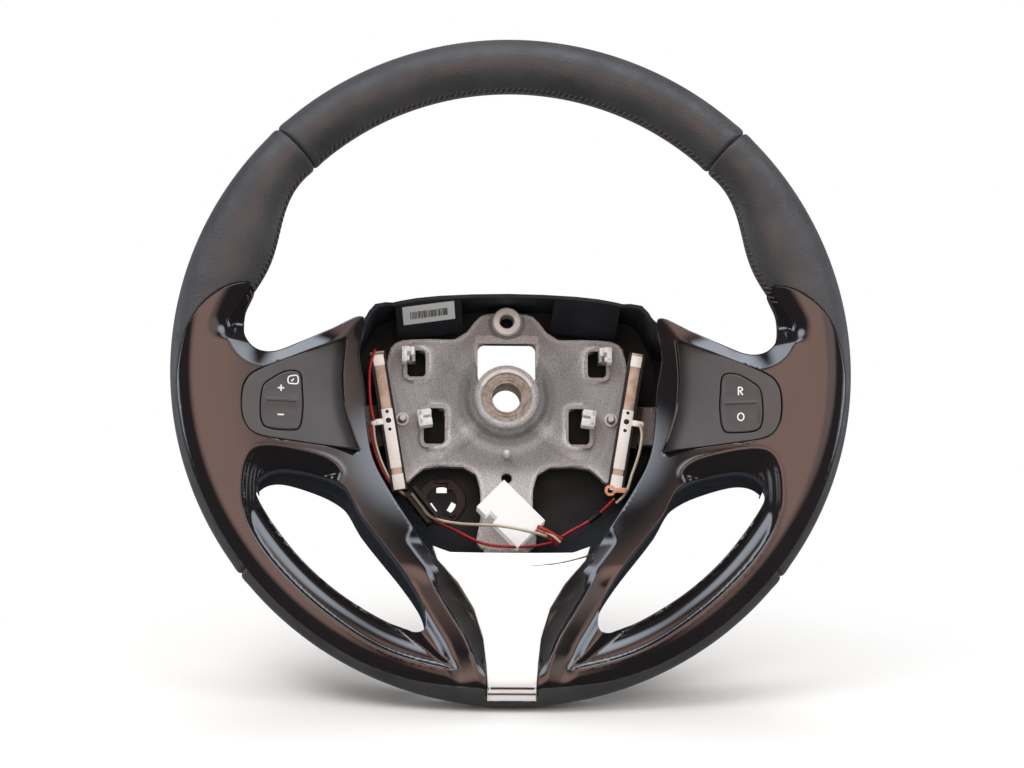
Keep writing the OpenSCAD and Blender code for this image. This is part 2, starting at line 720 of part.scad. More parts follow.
module wire(route, d) {
    skin(wire_rings(open_curve(route, 3), d, 8));
}

function in_holder(z, y) = let (c = holder_at + z * [-sin(holder_tilt), cos(holder_tilt)]) [c[0], y, c[1]];
channel_y = plate_front - seat - (holder_d - channel_d) - wire_d / 2 - seat;
over_tab_y = plate_front - carrier_h - 3 * seat - strip_t - wire_d / 2;
red_left_route = [[-76, -38, 24], [-79, over_tab_y, 12], [-78.5, over_tab_y, -6], [-76.5, over_tab_y, -17.5]];
red_lower_route = [
    in_holder(9, channel_y), in_holder(0, channel_y), in_holder(-10, channel_y), [-30, -26, -80.5], [-12, -28, -90],
    [10, -28, -92], [26, -28, -88],
];
cream_lower_route = [
    in_holder(9, channel_y - 2), in_holder(0, channel_y - 2), in_holder(-10, channel_y - 2), [-28, -30, -78.5],
    [-4, -40, -86], [14, -40, -90], [22, -38, -86],
];
red_right_route = [[61, -38, -62], [50, -34, -72], [36, -32, -80], [26, -36, -86], [20, -38, -82]];
cream_right_route = [
    [75.5, over_tab_y, -18.2], [76.8, over_tab_y, -25], [75, -37, -36], [71, -36, -48], [67.6, -35, -58], [62, -34, -64],
];

module red_wire_left() {
    color("#a01e1e") wire(red_left_route, wire_d);
}

module red_wire_lower() {
    color("#a01e1e") wire(red_lower_route, wire_d);
}

module cream_wire_lower() {
    color("#d8cdb4") wire(cream_lower_route, wire_d);
}

module red_wire_right() {
    color("#a01e1e") wire(red_right_route, wire_d);
}

module cream_wire_right() {
    color("#d8cdb4") wire(cream_right_route, wire_d);
}

armature();
hub_bush();
locating_pin();
rim_foam();
leather_upper();
leather_lower();
leather_left_grip();
leather_right_grip();
left_trim();
right_trim();
lower_insert();
back_cover();
cover_screws();
left_switch_panel();
right_switch_panel();
left_rocker();
right_rocker();
left_switch_body();
right_switch_body();
left_contact_carrier();
right_contact_carrier();
left_contact_strip();
right_contact_strip();
cable_holder();
eyelet_terminal();
connector();
paper_label();
red_wire_left();
red_wire_lower();
cream_wire_lower();
red_wire_right();
cream_wire_right();
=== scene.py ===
"""The looks of a car steering wheel without its airbag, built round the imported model.

Lengths inside the classes are in millimetres, in the row frame: X to the driver's right, Z up the
wheel's face, and the driver on the -Y side. They become metres when a shape becomes a piece.
"""

from __future__ import annotations

import json
import logging
import math
from dataclasses import dataclass, field
from enum import Enum
from typing import Any, Callable, Iterable, Sequence

import bmesh
import bpy
import numpy as np
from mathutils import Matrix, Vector, geometry

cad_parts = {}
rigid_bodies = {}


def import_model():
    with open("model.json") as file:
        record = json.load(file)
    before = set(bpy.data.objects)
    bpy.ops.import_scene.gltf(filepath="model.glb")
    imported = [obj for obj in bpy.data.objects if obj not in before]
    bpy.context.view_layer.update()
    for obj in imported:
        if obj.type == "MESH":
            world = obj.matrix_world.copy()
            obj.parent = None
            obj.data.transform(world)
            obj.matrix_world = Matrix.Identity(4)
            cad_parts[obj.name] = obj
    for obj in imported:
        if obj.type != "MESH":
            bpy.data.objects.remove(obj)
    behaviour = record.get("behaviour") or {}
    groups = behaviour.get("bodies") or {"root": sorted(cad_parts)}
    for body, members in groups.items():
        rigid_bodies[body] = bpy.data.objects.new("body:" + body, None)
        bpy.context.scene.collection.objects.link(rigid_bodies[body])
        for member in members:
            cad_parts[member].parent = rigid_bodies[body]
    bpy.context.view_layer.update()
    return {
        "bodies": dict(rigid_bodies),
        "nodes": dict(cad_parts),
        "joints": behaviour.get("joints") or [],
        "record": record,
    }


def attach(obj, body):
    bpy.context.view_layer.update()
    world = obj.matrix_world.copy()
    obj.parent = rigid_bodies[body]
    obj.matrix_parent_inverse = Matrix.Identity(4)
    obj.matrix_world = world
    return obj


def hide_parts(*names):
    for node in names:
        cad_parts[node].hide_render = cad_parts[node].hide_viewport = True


LOG = logging.getLogger("wheel")
MM = 0.001
WHITE = (1, 1, 1, 1)
CREASE_ROWS = (-0.9, -0.35, 0.35, 0.9)
ROW_PITCH = 0.866
ROW_CLEARANCE = 0.3
CHUNK = 1500
Array = np.ndarray
Height = Callable[[Array], Array]


class Kind(Enum):
    """Where a finish gets its surface grain from."""

    LEATHER = "leather"
    CAST = "cast"
    MOULDED = "moulded"
    TURNED = "turned"
    SMOOTH = "smooth"


def polar(radius: float, degrees: float) -> Array:
    """A point on the wheel's face from its radius and angle."""
    a = math.radians(degrees)
    return np.array([radius * math.cos(a), radius * math.sin(a)])


def spline(points: Sequence[Any], steps: int, closed: bool = True) -> Array:
    """Makes a smooth curve through points.

    Args:
        points: the points, in two or three dimensions.
        steps: how many stretches lie between two points.
        closed: whether the curve returns to its start.

    Returns:
        The curve's points, one row each.
    """
    p = np.asarray(points, float)
    if closed:
        a, b, c, d = np.roll(p, 1, 0), p, np.roll(p, -1, 0), np.roll(p, -2, 0)
    else:
        q = np.vstack([p[:1], p, p[-1:]])
        a, b, c, d = q[:-3], q[1:-2], q[2:-1], q[3:]
    t = (np.arange(steps) / steps)[None, :, None]
    a, b, c, d = (v[:, None, :] for v in (a, b, c, d))
    curve = 0.5 * (2 * b + (c - a) * t + (2 * a - 5 * b + 4 * c - d) * t**2 + (3 * b - a - 3 * c + d) * t**3)
    curve = curve.reshape(-1, p.shape[1])
    return curve if closed else np.vstack([curve, p[-1:]])


def grown(outline: Array, distance: float) -> Array:
    """Moves an anticlockwise outline outwards.

    Args:
        outline: the outline.
        distance: how far it moves.

    Returns:
        The moved outline.
    """
    e = np.roll(outline, -1, 0) - np.roll(outline, 1, 0)
    e /= np.maximum(np.linalg.norm(e, axis=1, keepdims=True), 1e-9)
    return outline + distance * np.column_stack([e[:, 1], -e[:, 0]])


def nearest(points: Array, line: Array, closed: bool = True) -> tuple[Array, Array]:
    """Measures how far points lie from a line of straight stretches.

    Args:
        points: the points to measure from.
        line: the line's corners.
        closed: whether the line returns to its start.

    Returns:
        The distance of each point, and the number of the stretch that is nearest.
    """
    start = line if closed else line[:-1]
    stop = np.roll(line, -1, 0) if closed else line[1:]
    run = stop - start
    length = np.maximum((run**2).sum(1), 1e-12)
    distance, index = [], []
    for block in np.array_split(points, max(1, len(points) // CHUNK)):
        away = block[:, None, :] - start[None]
        t = np.clip((away * run[None]).sum(2) / length[None], 0, 1)
        gap = ((away - t[..., None] * run[None]) ** 2).sum(2)
        k = gap.argmin(1)
        distance.append(np.sqrt(gap[np.arange(len(block)), k]))
        index.append(k)
    return np.concatenate(distance), np.concatenate(index)


def inside(points: Array, outline: Array) -> Array:
    """Finds which points lie inside an outline.

    Args:
        points: the points.
        outline: the outline.

    Returns:
        Whether each point lies inside.
    """
    x, z = points[:, 0], points[:, 1]
    result = np.zeros(len(points), bool)
    for (x0, z0), (x1, z1) in zip(outline, np.roll(outline, -1, 0)):
        if z0 != z1:
            result ^= ((z0 > z) != (z1 > z)) & (x < (x1 - x0) * (z - z0) / (z1 - z0) + x0)
    return result


def signed(points: Array, outline: Array) -> Array:
    """Distance from an outline, negative inside it."""
    return nearest(points, outline)[0] * np.where(inside(points, outline), -1, 1)


def smooth(t: Array | float) -> Array:
    """A soft step from 0 to 1."""
    t = np.clip(t, 0, 1)
    return t * t * (3 - 2 * t)


def rounded(distance: Array | float, radius: Array | float) -> Array:
    """How far a rounded edge has fallen at a distance from the edge."""
    d = np.clip(distance, 0, radius)
    return radius - np.sqrt(np.maximum(radius**2 - (radius - d) ** 2, 0))


def turn(axis: str, degrees: float) -> Array:
    """Makes the matrix of a turn.

    Args:
        axis: X, Y or Z.
        degrees: the turn's angle.

    Returns:
        The matrix.
    """
    c, s = math.cos(math.radians(degrees)), math.sin(math.radians(degrees))
    i, k = {"X": (1, 2), "Y": (2, 0), "Z": (0, 1)}[axis]
    m = np.eye(3)
    m[i, i] = m[k, k] = c
    m[i, k], m[k, i] = -s, s
    return m


@dataclass
class Shape:
    """Points in millimetres and the faces between them."""

    verts: Array
    faces: list[tuple[int, ...]]

    def __add__(self, other: Shape) -> Shape:
        """Both shapes as one."""
        n = len(self.verts)
        return Shape(np.vstack([self.verts, other.verts]),
                     self.faces + [tuple(i + n for i in f) for f in other.faces])

    def placed(self, at: Sequence[float] = (0, 0, 0), matrix: Array | None = None) -> Shape:
        """The shape turned by a matrix and then moved."""
        v = self.verts if matrix is None else self.verts @ matrix.T
        return Shape(v + np.asarray(at, float), self.faces)

    def mirrored(self) -> Shape:
        """The shape on the other side of the wheel."""
        return Shape(self.verts * [-1, 1, 1], [f[::-1] for f in self.faces])

    def piece(self, name: str, sharp: float = 35.0) -> bpy.types.Object:
        """Makes the shape an object of the scene.

        Args:
            name: the object's name.
            sharp: edges that bend more than this stay sharp, in degrees.

        Returns:
            The new object.
        """
        mesh = bpy.data.meshes.new(name)
        mesh.from_pydata((self.verts * MM).tolist(), [], self.faces)
        mesh.shade_smooth()
        mesh.set_sharp_from_angle(angle=math.radians(sharp))
        obj = bpy.data.objects.new(name, mesh)
        bpy.context.scene.collection.objects.link(obj)
        return obj


def joined(parts: Iterable[Shape]) -> Shape:
    """Joins shapes.

    Args:
        parts: the shapes, in order.

    Returns:
        All of them as one.
    """
    whole = Shape(np.zeros((0, 3)), [])
    for part in parts:
        whole = whole + part
    return whole


def raised(xz: Array, y: Array | float) -> Array:
    """Points of the wheel's face at given heights."""
    return np.column_stack([xz[:, 0], np.broadcast_to(y, len(xz)), xz[:, 1]])


def loft(grid: Array, ring: bool = False, loop: bool = False, caps: bool = False) -> Shape:
    """Makes a skin over rows of points.

    Args:
        grid: the points, as rows, columns and coordinates.
        ring: whether each row closes on itself.
        loop: whether the last row joins the first.
        caps: whether the first and last rows are filled.

    Returns:
        The skin.
    """
    rows, cols = grid.shape[:2]
    i = np.arange(rows if loop else rows - 1)[:, None]
    k = np.arange(cols if ring else cols - 1)[None, :]
    j, m = (i + 1) % rows, (k + 1) % cols
    quads = np.stack([i * cols + k, i * cols + m, j * cols + m, j * cols + k], -1).reshape(-1, 4)
    faces: list[tuple[int, ...]] = [tuple(q) for q in quads.tolist()]
    if caps:
        faces += [tuple(range(cols - 1, -1, -1)), tuple(range((rows - 1) * cols, rows * cols))]
    return Shape(grid.reshape(-1, 3), faces)


def tube(path: Array, radius: float | Array, sides: int = 12) -> Shape:
    """Makes a round tube.

    Args:
        path: the points that its middle runs through.
        radius: its radius, or one radius for each point.
        sides: how many faces go round.

    Returns:
        The tube, closed at both ends.
    """
    path = np.asarray(path, float)
    run = np.gradient(path, axis=0)
    run /= np.linalg.norm(run, axis=1, keepdims=True)
    # The first side points away from a direction that no path starts along.
    side = np.cross(run[0], [0.3, 1, 0.2])
    rows = []
    width = np.broadcast_to(radius, len(path))
    turns = np.linspace(0, 2 * math.pi, sides, endpoint=False)
    for p, t, r in zip(path, run, width):
        side = side - t * (side @ t)
        side /= np.linalg.norm(side)
        up = np.cross(t, side)
        rows.append(p + r * (np.cos(turns)[:, None] * side + np.sin(turns)[:, None] * up))
    return loft(np.array(rows), ring=True, caps=True)


def turned(profile: Sequence[tuple[float, float]], sides: int = 64) -> Shape:
    """Makes a turned form about Y.

    Args:
        profile: radius and Y of each point of the section, from the driver's side.
        sides: how many faces go round.

    Returns:
        The form, open where the profile ends.
    """
    a = np.linspace(0, 2 * math.pi, sides, endpoint=False)
    rows = [np.column_stack([r * np.cos(a), np.full(sides, y), r * np.sin(a)]) for r, y in profile]
    return loft(np.array(rows), ring=True)


def block(size: Sequence[float], bevel: float = 0.4) -> Shape:
    """Makes a block about the origin with rounded edges.

    Args:
        size: its sizes along X, Y and Z.
        bevel: radius of its edges.

    Returns:
        The block.
    """
    bm = bmesh.new()
    bmesh.ops.create_cube(bm, size=1)
    bmesh.ops.scale(bm, vec=Vector(size), verts=bm.verts)
    bmesh.ops.bevel(bm, geom=list(bm.edges), offset=bevel, segments=2, affect="EDGES", profile=0.6)
    shape = Shape(np.array([v.co[:] for v in bm.verts]), [tuple(v.index for v in f.verts) for f in bm.faces])
    bm.free()
    return shape


def plate(
    outline: Array,
    height: Height,
    back: float,
    holes: Sequence[Array] = (),
    creases: Sequence[Array] = (),
    cell: float = 1.6,
    edge: float = 0.6,
    insets: Sequence[float] = (0, 0.12, 0.35, 0.7, 1.2),
) -> Shape:
    """Makes a moulded or cast plate that faces the driver.

    Args:
        outline: its outline on the wheel's face, anticlockwise.
        height: gives Y at points of the face.
        back: Y that its walls run back to.
        holes: outlines of its holes, anticlockwise.
        creases: open lines that its face bends along.
        cell: distance between the points that carry the face.
        edge: radius of its rounded edges.
        insets: distances from the edges at which rows of points lie.

    Returns:
        The plate, open at the back.
    """
    loops = [(outline, -1)] + [(h, 1) for h in holes]
    points, edges = [], []
    count = 0
    for loop, side in loops:
        for d in insets:
            points.append(grown(loop, side * d))
            if d == 0:
                edges += [(count + i, count + (i + 1) % len(loop)) for i in range(len(loop))]
            count += len(loop)
    for line in creases:
        points.append(line)
        edges += [(count + i, count + i + 1) for i in range(len(line) - 1)]
        count += len(line)
        e = np.gradient(line, axis=0)
        e /= np.linalg.norm(e, axis=1, keepdims=True)
        for d in CREASE_ROWS:
            points.append(line + d * np.column_stack([e[:, 1], -e[:, 0]]))
            count += len(line)
    clear = ROW_CLEARANCE * cell
    low, high = outline.min(0), outline.max(0)
    xs = np.arange(low[0], high[0], cell)
    zs = np.arange(low[1], high[1], cell * ROW_PITCH)
    gx, gz = np.meshgrid(xs, zs)
    gx = gx + (np.arange(len(zs)) % 2 * cell / 2)[:, None]
    grid = np.column_stack([gx.ravel(), gz.ravel()])
    grid = grid[inside(grid, outline)]
    for loop, side in loops:
        if side > 0:
            grid = grid[~inside(grid, loop)]
        grid = grid[nearest(grid, loop)[0] > insets[-1] + clear]
    for line in creases:
        grid = grid[nearest(grid, line, False)[0] > CREASE_ROWS[-1] + clear]
    points.append(grid)
    flat = np.vstack(points)
    found = geometry.delaunay_2d_cdt([Vector(p) for p in flat.tolist()], edges, [], 1, 1e-4, False)
    xz = np.array([v[:] for v in found[0]])
    tris = np.array(found[2])
    middle = xz[tris].mean(1)
    keep = inside(middle, outline)
    gap = nearest(xz, outline)[0]
    for loop, side in loops[1:]:
        keep &= ~inside(middle, loop)
        gap = np.minimum(gap, nearest(xz, loop)[0])
    face = Shape(raised(xz, height(xz) + rounded(gap, edge)), [tuple(t) for t in tris[keep].tolist()])
    walls = ((raised(loop, height(loop) + edge), raised(loop, back)) for loop, _ in loops)
    return joined([face] + [loft(np.array(wall[::side]), ring=True) for wall, (_, side) in zip(walls, loops)])


def add(tree: bpy.types.NodeTree, kind: str, inputs: dict[str | int, Any], **settings: Any) -> bpy.types.Node:
    """Adds a node to a tree.

    Args:
        tree: the tree.
        kind: the node's type.
        inputs: a value, or the output to link, for each input that is set.
        settings: the node's own properties.

    Returns:
        The node.
    """
    node = tree.nodes.new(kind)
    for name, value in settings.items():
        setattr(node, name, value)
    fill(node, inputs)
    return node


def fill(node: bpy.types.Node, inputs: dict[str | int, Any]) -> None:
    """Sets the inputs of a node.

    Args:
        node: the node.
        inputs: a value, or the output to link, for each input that is set.
    """
    for key, value in inputs.items():
        if isinstance(value, bpy.types.NodeSocket):
            node.id_data.links.new(value, node.inputs[key])
        else:
            node.inputs[key].default_value = value


def ramp(value: bpy.types.NodeSocket, stops: Sequence[tuple[float, Sequence[float]]]) -> bpy.types.NodeSocket:
    """Sends a value through a colour ramp.

    Args:
        value: the output that drives the ramp.
        stops: the place and the colour of each stop.

    Returns:
        The ramp's colour.
    """
    node = add(value.id_data, "ShaderNodeValToRGB", {"Fac": value})
    for stop, (at, tone) in zip(node.color_ramp.elements, stops):
        stop.position = at
        stop.color = (*tone, 1)
    return node.outputs["Color"]


def soft_range(value: bpy.types.NodeSocket, low: float, high: float) -> bpy.types.NodeSocket:
    """A soft step from 0 to 1 between two limits of a value."""
    inputs = {"Value": value, "From Min": low, "From Max": high}
    return add(value.id_data, "ShaderNodeMapRange", inputs, interpolation_type="SMOOTHSTEP").outputs["Result"]


def blend(factor: bpy.types.NodeSocket, first: bpy.types.NodeSocket, second: bpy.types.NodeSocket) -> Any:
    """A mix of two shaders, the second where the factor is 1."""
    return add(factor.id_data, "ShaderNodeMixShader", {"Fac": factor, 1: first, 2: second}).outputs["Shader"]


@dataclass(frozen=True)
class Finish:
    """A finish of one kind of surface, as a Principled material with its own grain."""

    COAT_ROUGHNESS = 0.04
    SHEEN_ROUGHNESS = 0.4
    BUMP_DEPTH = 0.0004
    TINT_STOPS = (0.36, 0.62)
    ROUGH_STOPS = (0.3, 0.7)
    ROUGH_SCALE = 2.3
    WAVE_WOBBLE = 0.6
    name: str
    slot: str
    color: tuple[float, float, float]
    second: tuple[float, float, float]
    roughness: float = 0.5
    metallic: float = 0.0
    kind: Kind = Kind.SMOOTH
    mottle: float = 60.0
    grain: float = 900.0
    bump: float = 0.1
    spread: float = 0.1
    coat: float = 0.0
    sheen: float = 0.0
    level: float = 0.5
    # The colour can be multiplied by the mesh's tone attribute, which holds painted light and shade.
    painted_light_and_shade: bool = False
    # glow is an emission that brightens a part that is no lamp: painted light.
    glow: float = 0.0

    def material(self) -> bpy.types.Material:
        """Makes the material, or finds it if it's made.

        Returns:
            The material.
        """
        material = bpy.data.materials.get(self.name)
        if material:
            return material
        material = bpy.data.materials.new(self.name)
        material.use_nodes = True
        tree = material.node_tree
        where = add(tree, "ShaderNodeTexCoord", {}).outputs["Object"]

        def noise(scale: float, detail: float) -> bpy.types.NodeSocket:
            """The factor of a noise texture at a scale."""
            return add(tree, "ShaderNodeTexNoise",
                       {"Vector": where, "Scale": scale, "Detail": detail}).outputs["Fac"]

        blotch = noise(self.mottle, 9 if self.kind is Kind.CAST else 4)
        tint = ramp(blotch, list(zip(self.TINT_STOPS, (self.color, self.second))))
        # Painted light and shade: the mesh's tone attribute multiplies the colour.
        if self.painted_light_and_shade:
            tone = add(tree, "ShaderNodeAttribute", {}, attribute_name="tone")
            tint = add(tree, "ShaderNodeMix", {"Factor": 1, "A": tint, "B": tone.outputs["Color"]},
                       data_type="RGBA", blend_type="MULTIPLY").outputs["Result"]
        rough = (max(self.roughness - self.spread, 0.02),) * 3, (min(self.roughness + self.spread, 1),) * 3
        if self.kind is Kind.LEATHER:
            cells = add(tree, "ShaderNodeTexVoronoi",
                        {"Vector": where, "Scale": self.grain}).outputs["Distance"]
            height = add(tree, "ShaderNodeMath", {0: cells, 1: noise(self.grain / 4, 5)},
                         operation="ADD").outputs["Value"]
        elif self.kind is Kind.TURNED:
            inputs = {"Vector": where, "Scale": self.grain, "Distortion": self.WAVE_WOBBLE}
            height = add(tree, "ShaderNodeTexWave", inputs,
                         wave_type="RINGS", rings_direction="Y").outputs["Fac"]
        else:
            height = noise(self.grain, 8 if self.kind is Kind.CAST else 3)
        bump = add(tree, "ShaderNodeBump",
                   {"Strength": self.bump, "Distance": self.BUMP_DEPTH, "Height": height})
        fill(tree.nodes["Principled BSDF"], {
            "Metallic": self.metallic, "Coat Weight": self.coat, "Coat Roughness": self.COAT_ROUGHNESS,
            "Sheen Weight": self.sheen, "Sheen Roughness": self.SHEEN_ROUGHNESS,
            "Specular IOR Level": self.level, "Emission Color": WHITE, "Emission Strength": self.glow,
            "Base Color": tint,
            "Roughness": ramp(noise(self.mottle * self.ROUGH_SCALE, 3), list(zip(self.ROUGH_STOPS, rough))),
            "Normal": bump.outputs["Normal"],
        })
        return material


GRIP_LEATHER = Finish(
    "grip_leather", "leather", (0.036, 0.036, 0.038), (0.05, 0.049, 0.051), 0.5, 0, Kind.LEATHER, 35,
    1000, 0.32, sheen=0.12,
)
THREAD = Finish(
    "thread", "leather", (0.075, 0.05, 0.046), (0.12, 0.085, 0.078), 0.8, 0, Kind.MOULDED, 900, 2500, 0.4,
)
FOAM = Finish(
    "rim_foam_skin", "foam", (0.02, 0.02, 0.02), (0.03, 0.03, 0.03), 0.8, 0, Kind.MOULDED, 100, 900, 0.2,
)
PIANO = Finish(
    "piano_black", "gloss_black", (0.011, 0.009, 0.009), (0.016, 0.012, 0.012), 0.1, 0, Kind.SMOOTH, 14,
    160, 0.012, 0.03, coat=0.6,
)
SATIN = Finish(
    "satin_panel", "satin_grey", (0.062, 0.062, 0.065), (0.072, 0.071, 0.073), 0.42, 0, Kind.MOULDED, 60,
    2200, 0.16, 0.05,
)
KEY = Finish(
    "satin_key", "satin_grey", (0.05, 0.049, 0.053), (0.06, 0.058, 0.062), 0.36, 0, Kind.MOULDED, 60,
    2200, 0.12, 0.05,
)
MARK = Finish(
    "key_mark", "white_plastic", (0.86, 0.86, 0.86), (0.92, 0.92, 0.92), 0.4, 0, Kind.SMOOTH, 90, 900,
    0.02,
)
# The insert's near-white colour stands in for the polished insert reflecting white surroundings: painted
# reflection.
CHROME = Finish(
    "bright_insert_skin", "bright", (0.95, 0.945, 0.94), (0.99, 0.985, 0.98), 0.16, 0.1, Kind.SMOOTH, 12,
    200, 0.006, 0.02,
)
CASTING = Finish(
    "cast_alloy", "cast_metal", (0.3, 0.3, 0.305), (0.5, 0.475, 0.45), 0.5, 0.3, Kind.CAST, 900, 1600,
    0.8, 0.1,
)
# The casting's face carries painted light and shade from its tone attribute.
HUB_FACE = Finish(
    "cast_alloy_face", "cast_metal", (0.27, 0.28, 0.295), (0.47, 0.455, 0.44), 0.5, 0.3, Kind.CAST, 1300,
    2200, 0.9, 0.1, painted_light_and_shade=True,
)
# The hooks' faces glow a little: painted light.
HOOK = Finish(
    "blasted_alloy", "cast_metal", (0.7, 0.7, 0.7), (0.9, 0.89, 0.88), 0.5, 0.1, Kind.CAST, 500, 1500,
    0.5, glow=0.12,
)
MACHINED = Finish(
    "machined_alloy", "cast_metal", (0.66, 0.65, 0.62), (0.8, 0.78, 0.73), 0.42, 0.2, Kind.TURNED, 150,
    900, 0.1, 0.08,
)
STEEL = Finish(
    "turned_steel", "steel", (0.27, 0.225, 0.185), (0.46, 0.4, 0.35), 0.45, 0.25, Kind.TURNED, 420, 420,
    0.3, 0.08,
)
MOULDED = Finish(
    "black_moulding", "black_plastic", (0.016, 0.0175, 0.021), (0.024, 0.026, 0.031), 0.5, 0,
    Kind.MOULDED, 40, 1700, 0.22, 0.08, level=0.17,
)
CLIP = Finish(
    "black_clip", "black_plastic", (0.009, 0.009, 0.011), (0.015, 0.015, 0.018), 0.38, 0, Kind.MOULDED,
    120, 1500, 0.12, 0.06, level=0.25,
)
# The tinned sheet glows a little: painted light.
TIN = Finish(
    "tinned_sheet", "tinned", (0.86, 0.83, 0.74), (0.95, 0.94, 0.89), 0.33, 0.1, Kind.SMOOTH, 70, 500,
    0.05, 0.08, glow=0.15,
)
BARE_TIN = Finish(
    "rubbed_sheet", "tinned", (0.42, 0.34, 0.28), (0.58, 0.49, 0.42), 0.34, 0.35, Kind.SMOOTH, 160, 500,
    0.06, 0.08,
)
INK = Finish(
    "printed_bars", "paper", (0.05, 0.05, 0.05), (0.12, 0.12, 0.12), 0.7, 0, Kind.MOULDED, 400, 1500,
    0.05,
)
COPPER = Finish(
    "copper_sheet", "copper", (0.5, 0.28, 0.18), (0.68, 0.45, 0.32), 0.36, 0.4, Kind.SMOOTH, 300, 700,
    0.08,
)
# The white nylon glows: painted light.
NYLON = Finish(
    "white_nylon", "white_plastic", (0.93, 0.93, 0.92), (0.97, 0.97, 0.96), 0.42, 0, Kind.MOULDED, 50,
    1200, 0.05, 0.05, glow=0.3,
)
# The paper glows strongly, which lifts it out of its shade: painted light.
PAPER = Finish(
    "paper", "paper", (0.9, 0.9, 0.88), (0.95, 0.95, 0.93), 0.75, 0, Kind.MOULDED, 70, 1800, 0.08,
    glow=0.9,
)
# Dark lines on the insert: painted shade.
DARK_LINE = Finish(
    "painted_shade_lines", "bright", (0.06, 0.03, 0.024), (0.1, 0.055, 0.045), 0.4, 0, Kind.SMOOTH, 90, 900,
)
RED = Finish(
    "red_insulation", "red_wire", (0.42, 0.012, 0.016), (0.55, 0.025, 0.028), 0.34, 0, Kind.SMOOTH, 160,
    900, 0.04,
)
CREAM = Finish(
    "cream_insulation", "cream_wire", (0.72, 0.63, 0.45), (0.82, 0.74, 0.57), 0.36, 0, Kind.SMOOTH, 160,
    900, 0.04,
)


def dress(obj: bpy.types.Object, finish: Finish, replaces: Sequence[str] = (), body: str = "wheel") -> None:
    """Gives a piece its finish and its place in the frame.

    Args:
        obj: the piece.
        finish: its finish.
        replaces: the CAD nodes that it stands for.
        body: the CAD body that it rides on.
    """
    obj.data.materials.clear()
    obj.data.materials.append(finish.material())
    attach(obj, body)
    if replaces:
        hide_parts(*replaces)
    LOG.info("piece %s: %s", obj.name, finish.name)


def dress_node(frame: dict[str, Any], node: str, finish: Finish) -> None:
    """Gives a CAD node that stays its material.

    Args:
        frame: what the frame's load returned.
        node: the node's name.
        finish: its finish.
    """
    obj = frame["nodes"][node]
    obj.data.materials.clear()
    obj.data.materials.append(finish.material())
    LOG.info("node %s: %s", node, finish.name)


@dataclass(frozen=True)
class Sizes:
    """The wheel's sizes that several sub-assemblies share, as in the part's source."""

    rim_d: float = 380.0
    tube_d: float = 31.0
    grip_w: float = 43.0
    grip_angle: float = 23.0
    upper_seam: float = 44.0
    lower_seam: float = 38.0
    seam_gap: float = 0.8
    dish: float = 80.0
    hub_l: float = 20.0
    half_bay: float = 83.0
    edge_w: float = 4.0
    insert_w: float = 27.0
    joint: float = 0.4
    trim_back: float = 8.0
    fall: float = 0.0026

    @property
    def rim_r(self) -> float:
        """Outside radius of the rim."""
        return self.rim_d / 2

    @property
    def crest(self) -> float:
        """Radius of the rim's section."""
        return self.tube_d / 2

    @property
    def ring_at(self) -> float:
        """Radius at which the rim's section lies."""
        return self.rim_r - self.crest

    @property
    def inner_r(self) -> float:
        """Inside radius of the rim."""
        return self.rim_r - self.tube_d

    @property
    def rim_y(self) -> float:
        """Y of the rim's middle plane."""
        return -self.hub_l - self.dish

    def face(self, xz: Array) -> Array:
        """Works out the height of the trims' face over the rim's middle plane.

        Args:
            xz: points of the wheel's face.

        Returns:
            The height at each point.
        """
        r = np.linalg.norm(xz, axis=-1)
        spoke = self.crest - self.fall * (self.ring_at - r) ** 2
        over = np.sqrt(np.maximum(self.crest**2 - np.maximum(r - self.ring_at, 0) ** 2, 0))
        return np.where(r < self.ring_at, spoke, over)

    def width(self, up: Array) -> Array:
        """Works out the rim's width.

        Args:
            up: angles above the middle, in degrees.

        Returns:
            The width at each angle.
        """
        d = (up - self.grip_angle) / (87 - self.upper_seam - self.grip_angle)
        rise = np.where(np.abs(d) < 1, np.cos(np.radians(90 * np.clip(d, -1, 1))) ** 2, 0)
        return self.tube_d + (self.grip_w - self.tube_d) * rise


SIZE = Sizes()


def bend(distance: Array, spread: float) -> Array:
    """A ramp that starts at zero with a soft corner."""
    soft = (np.clip(distance, -spread, spread) + spread) ** 2 / (4 * spread)
    return np.where(distance > spread, distance, soft)


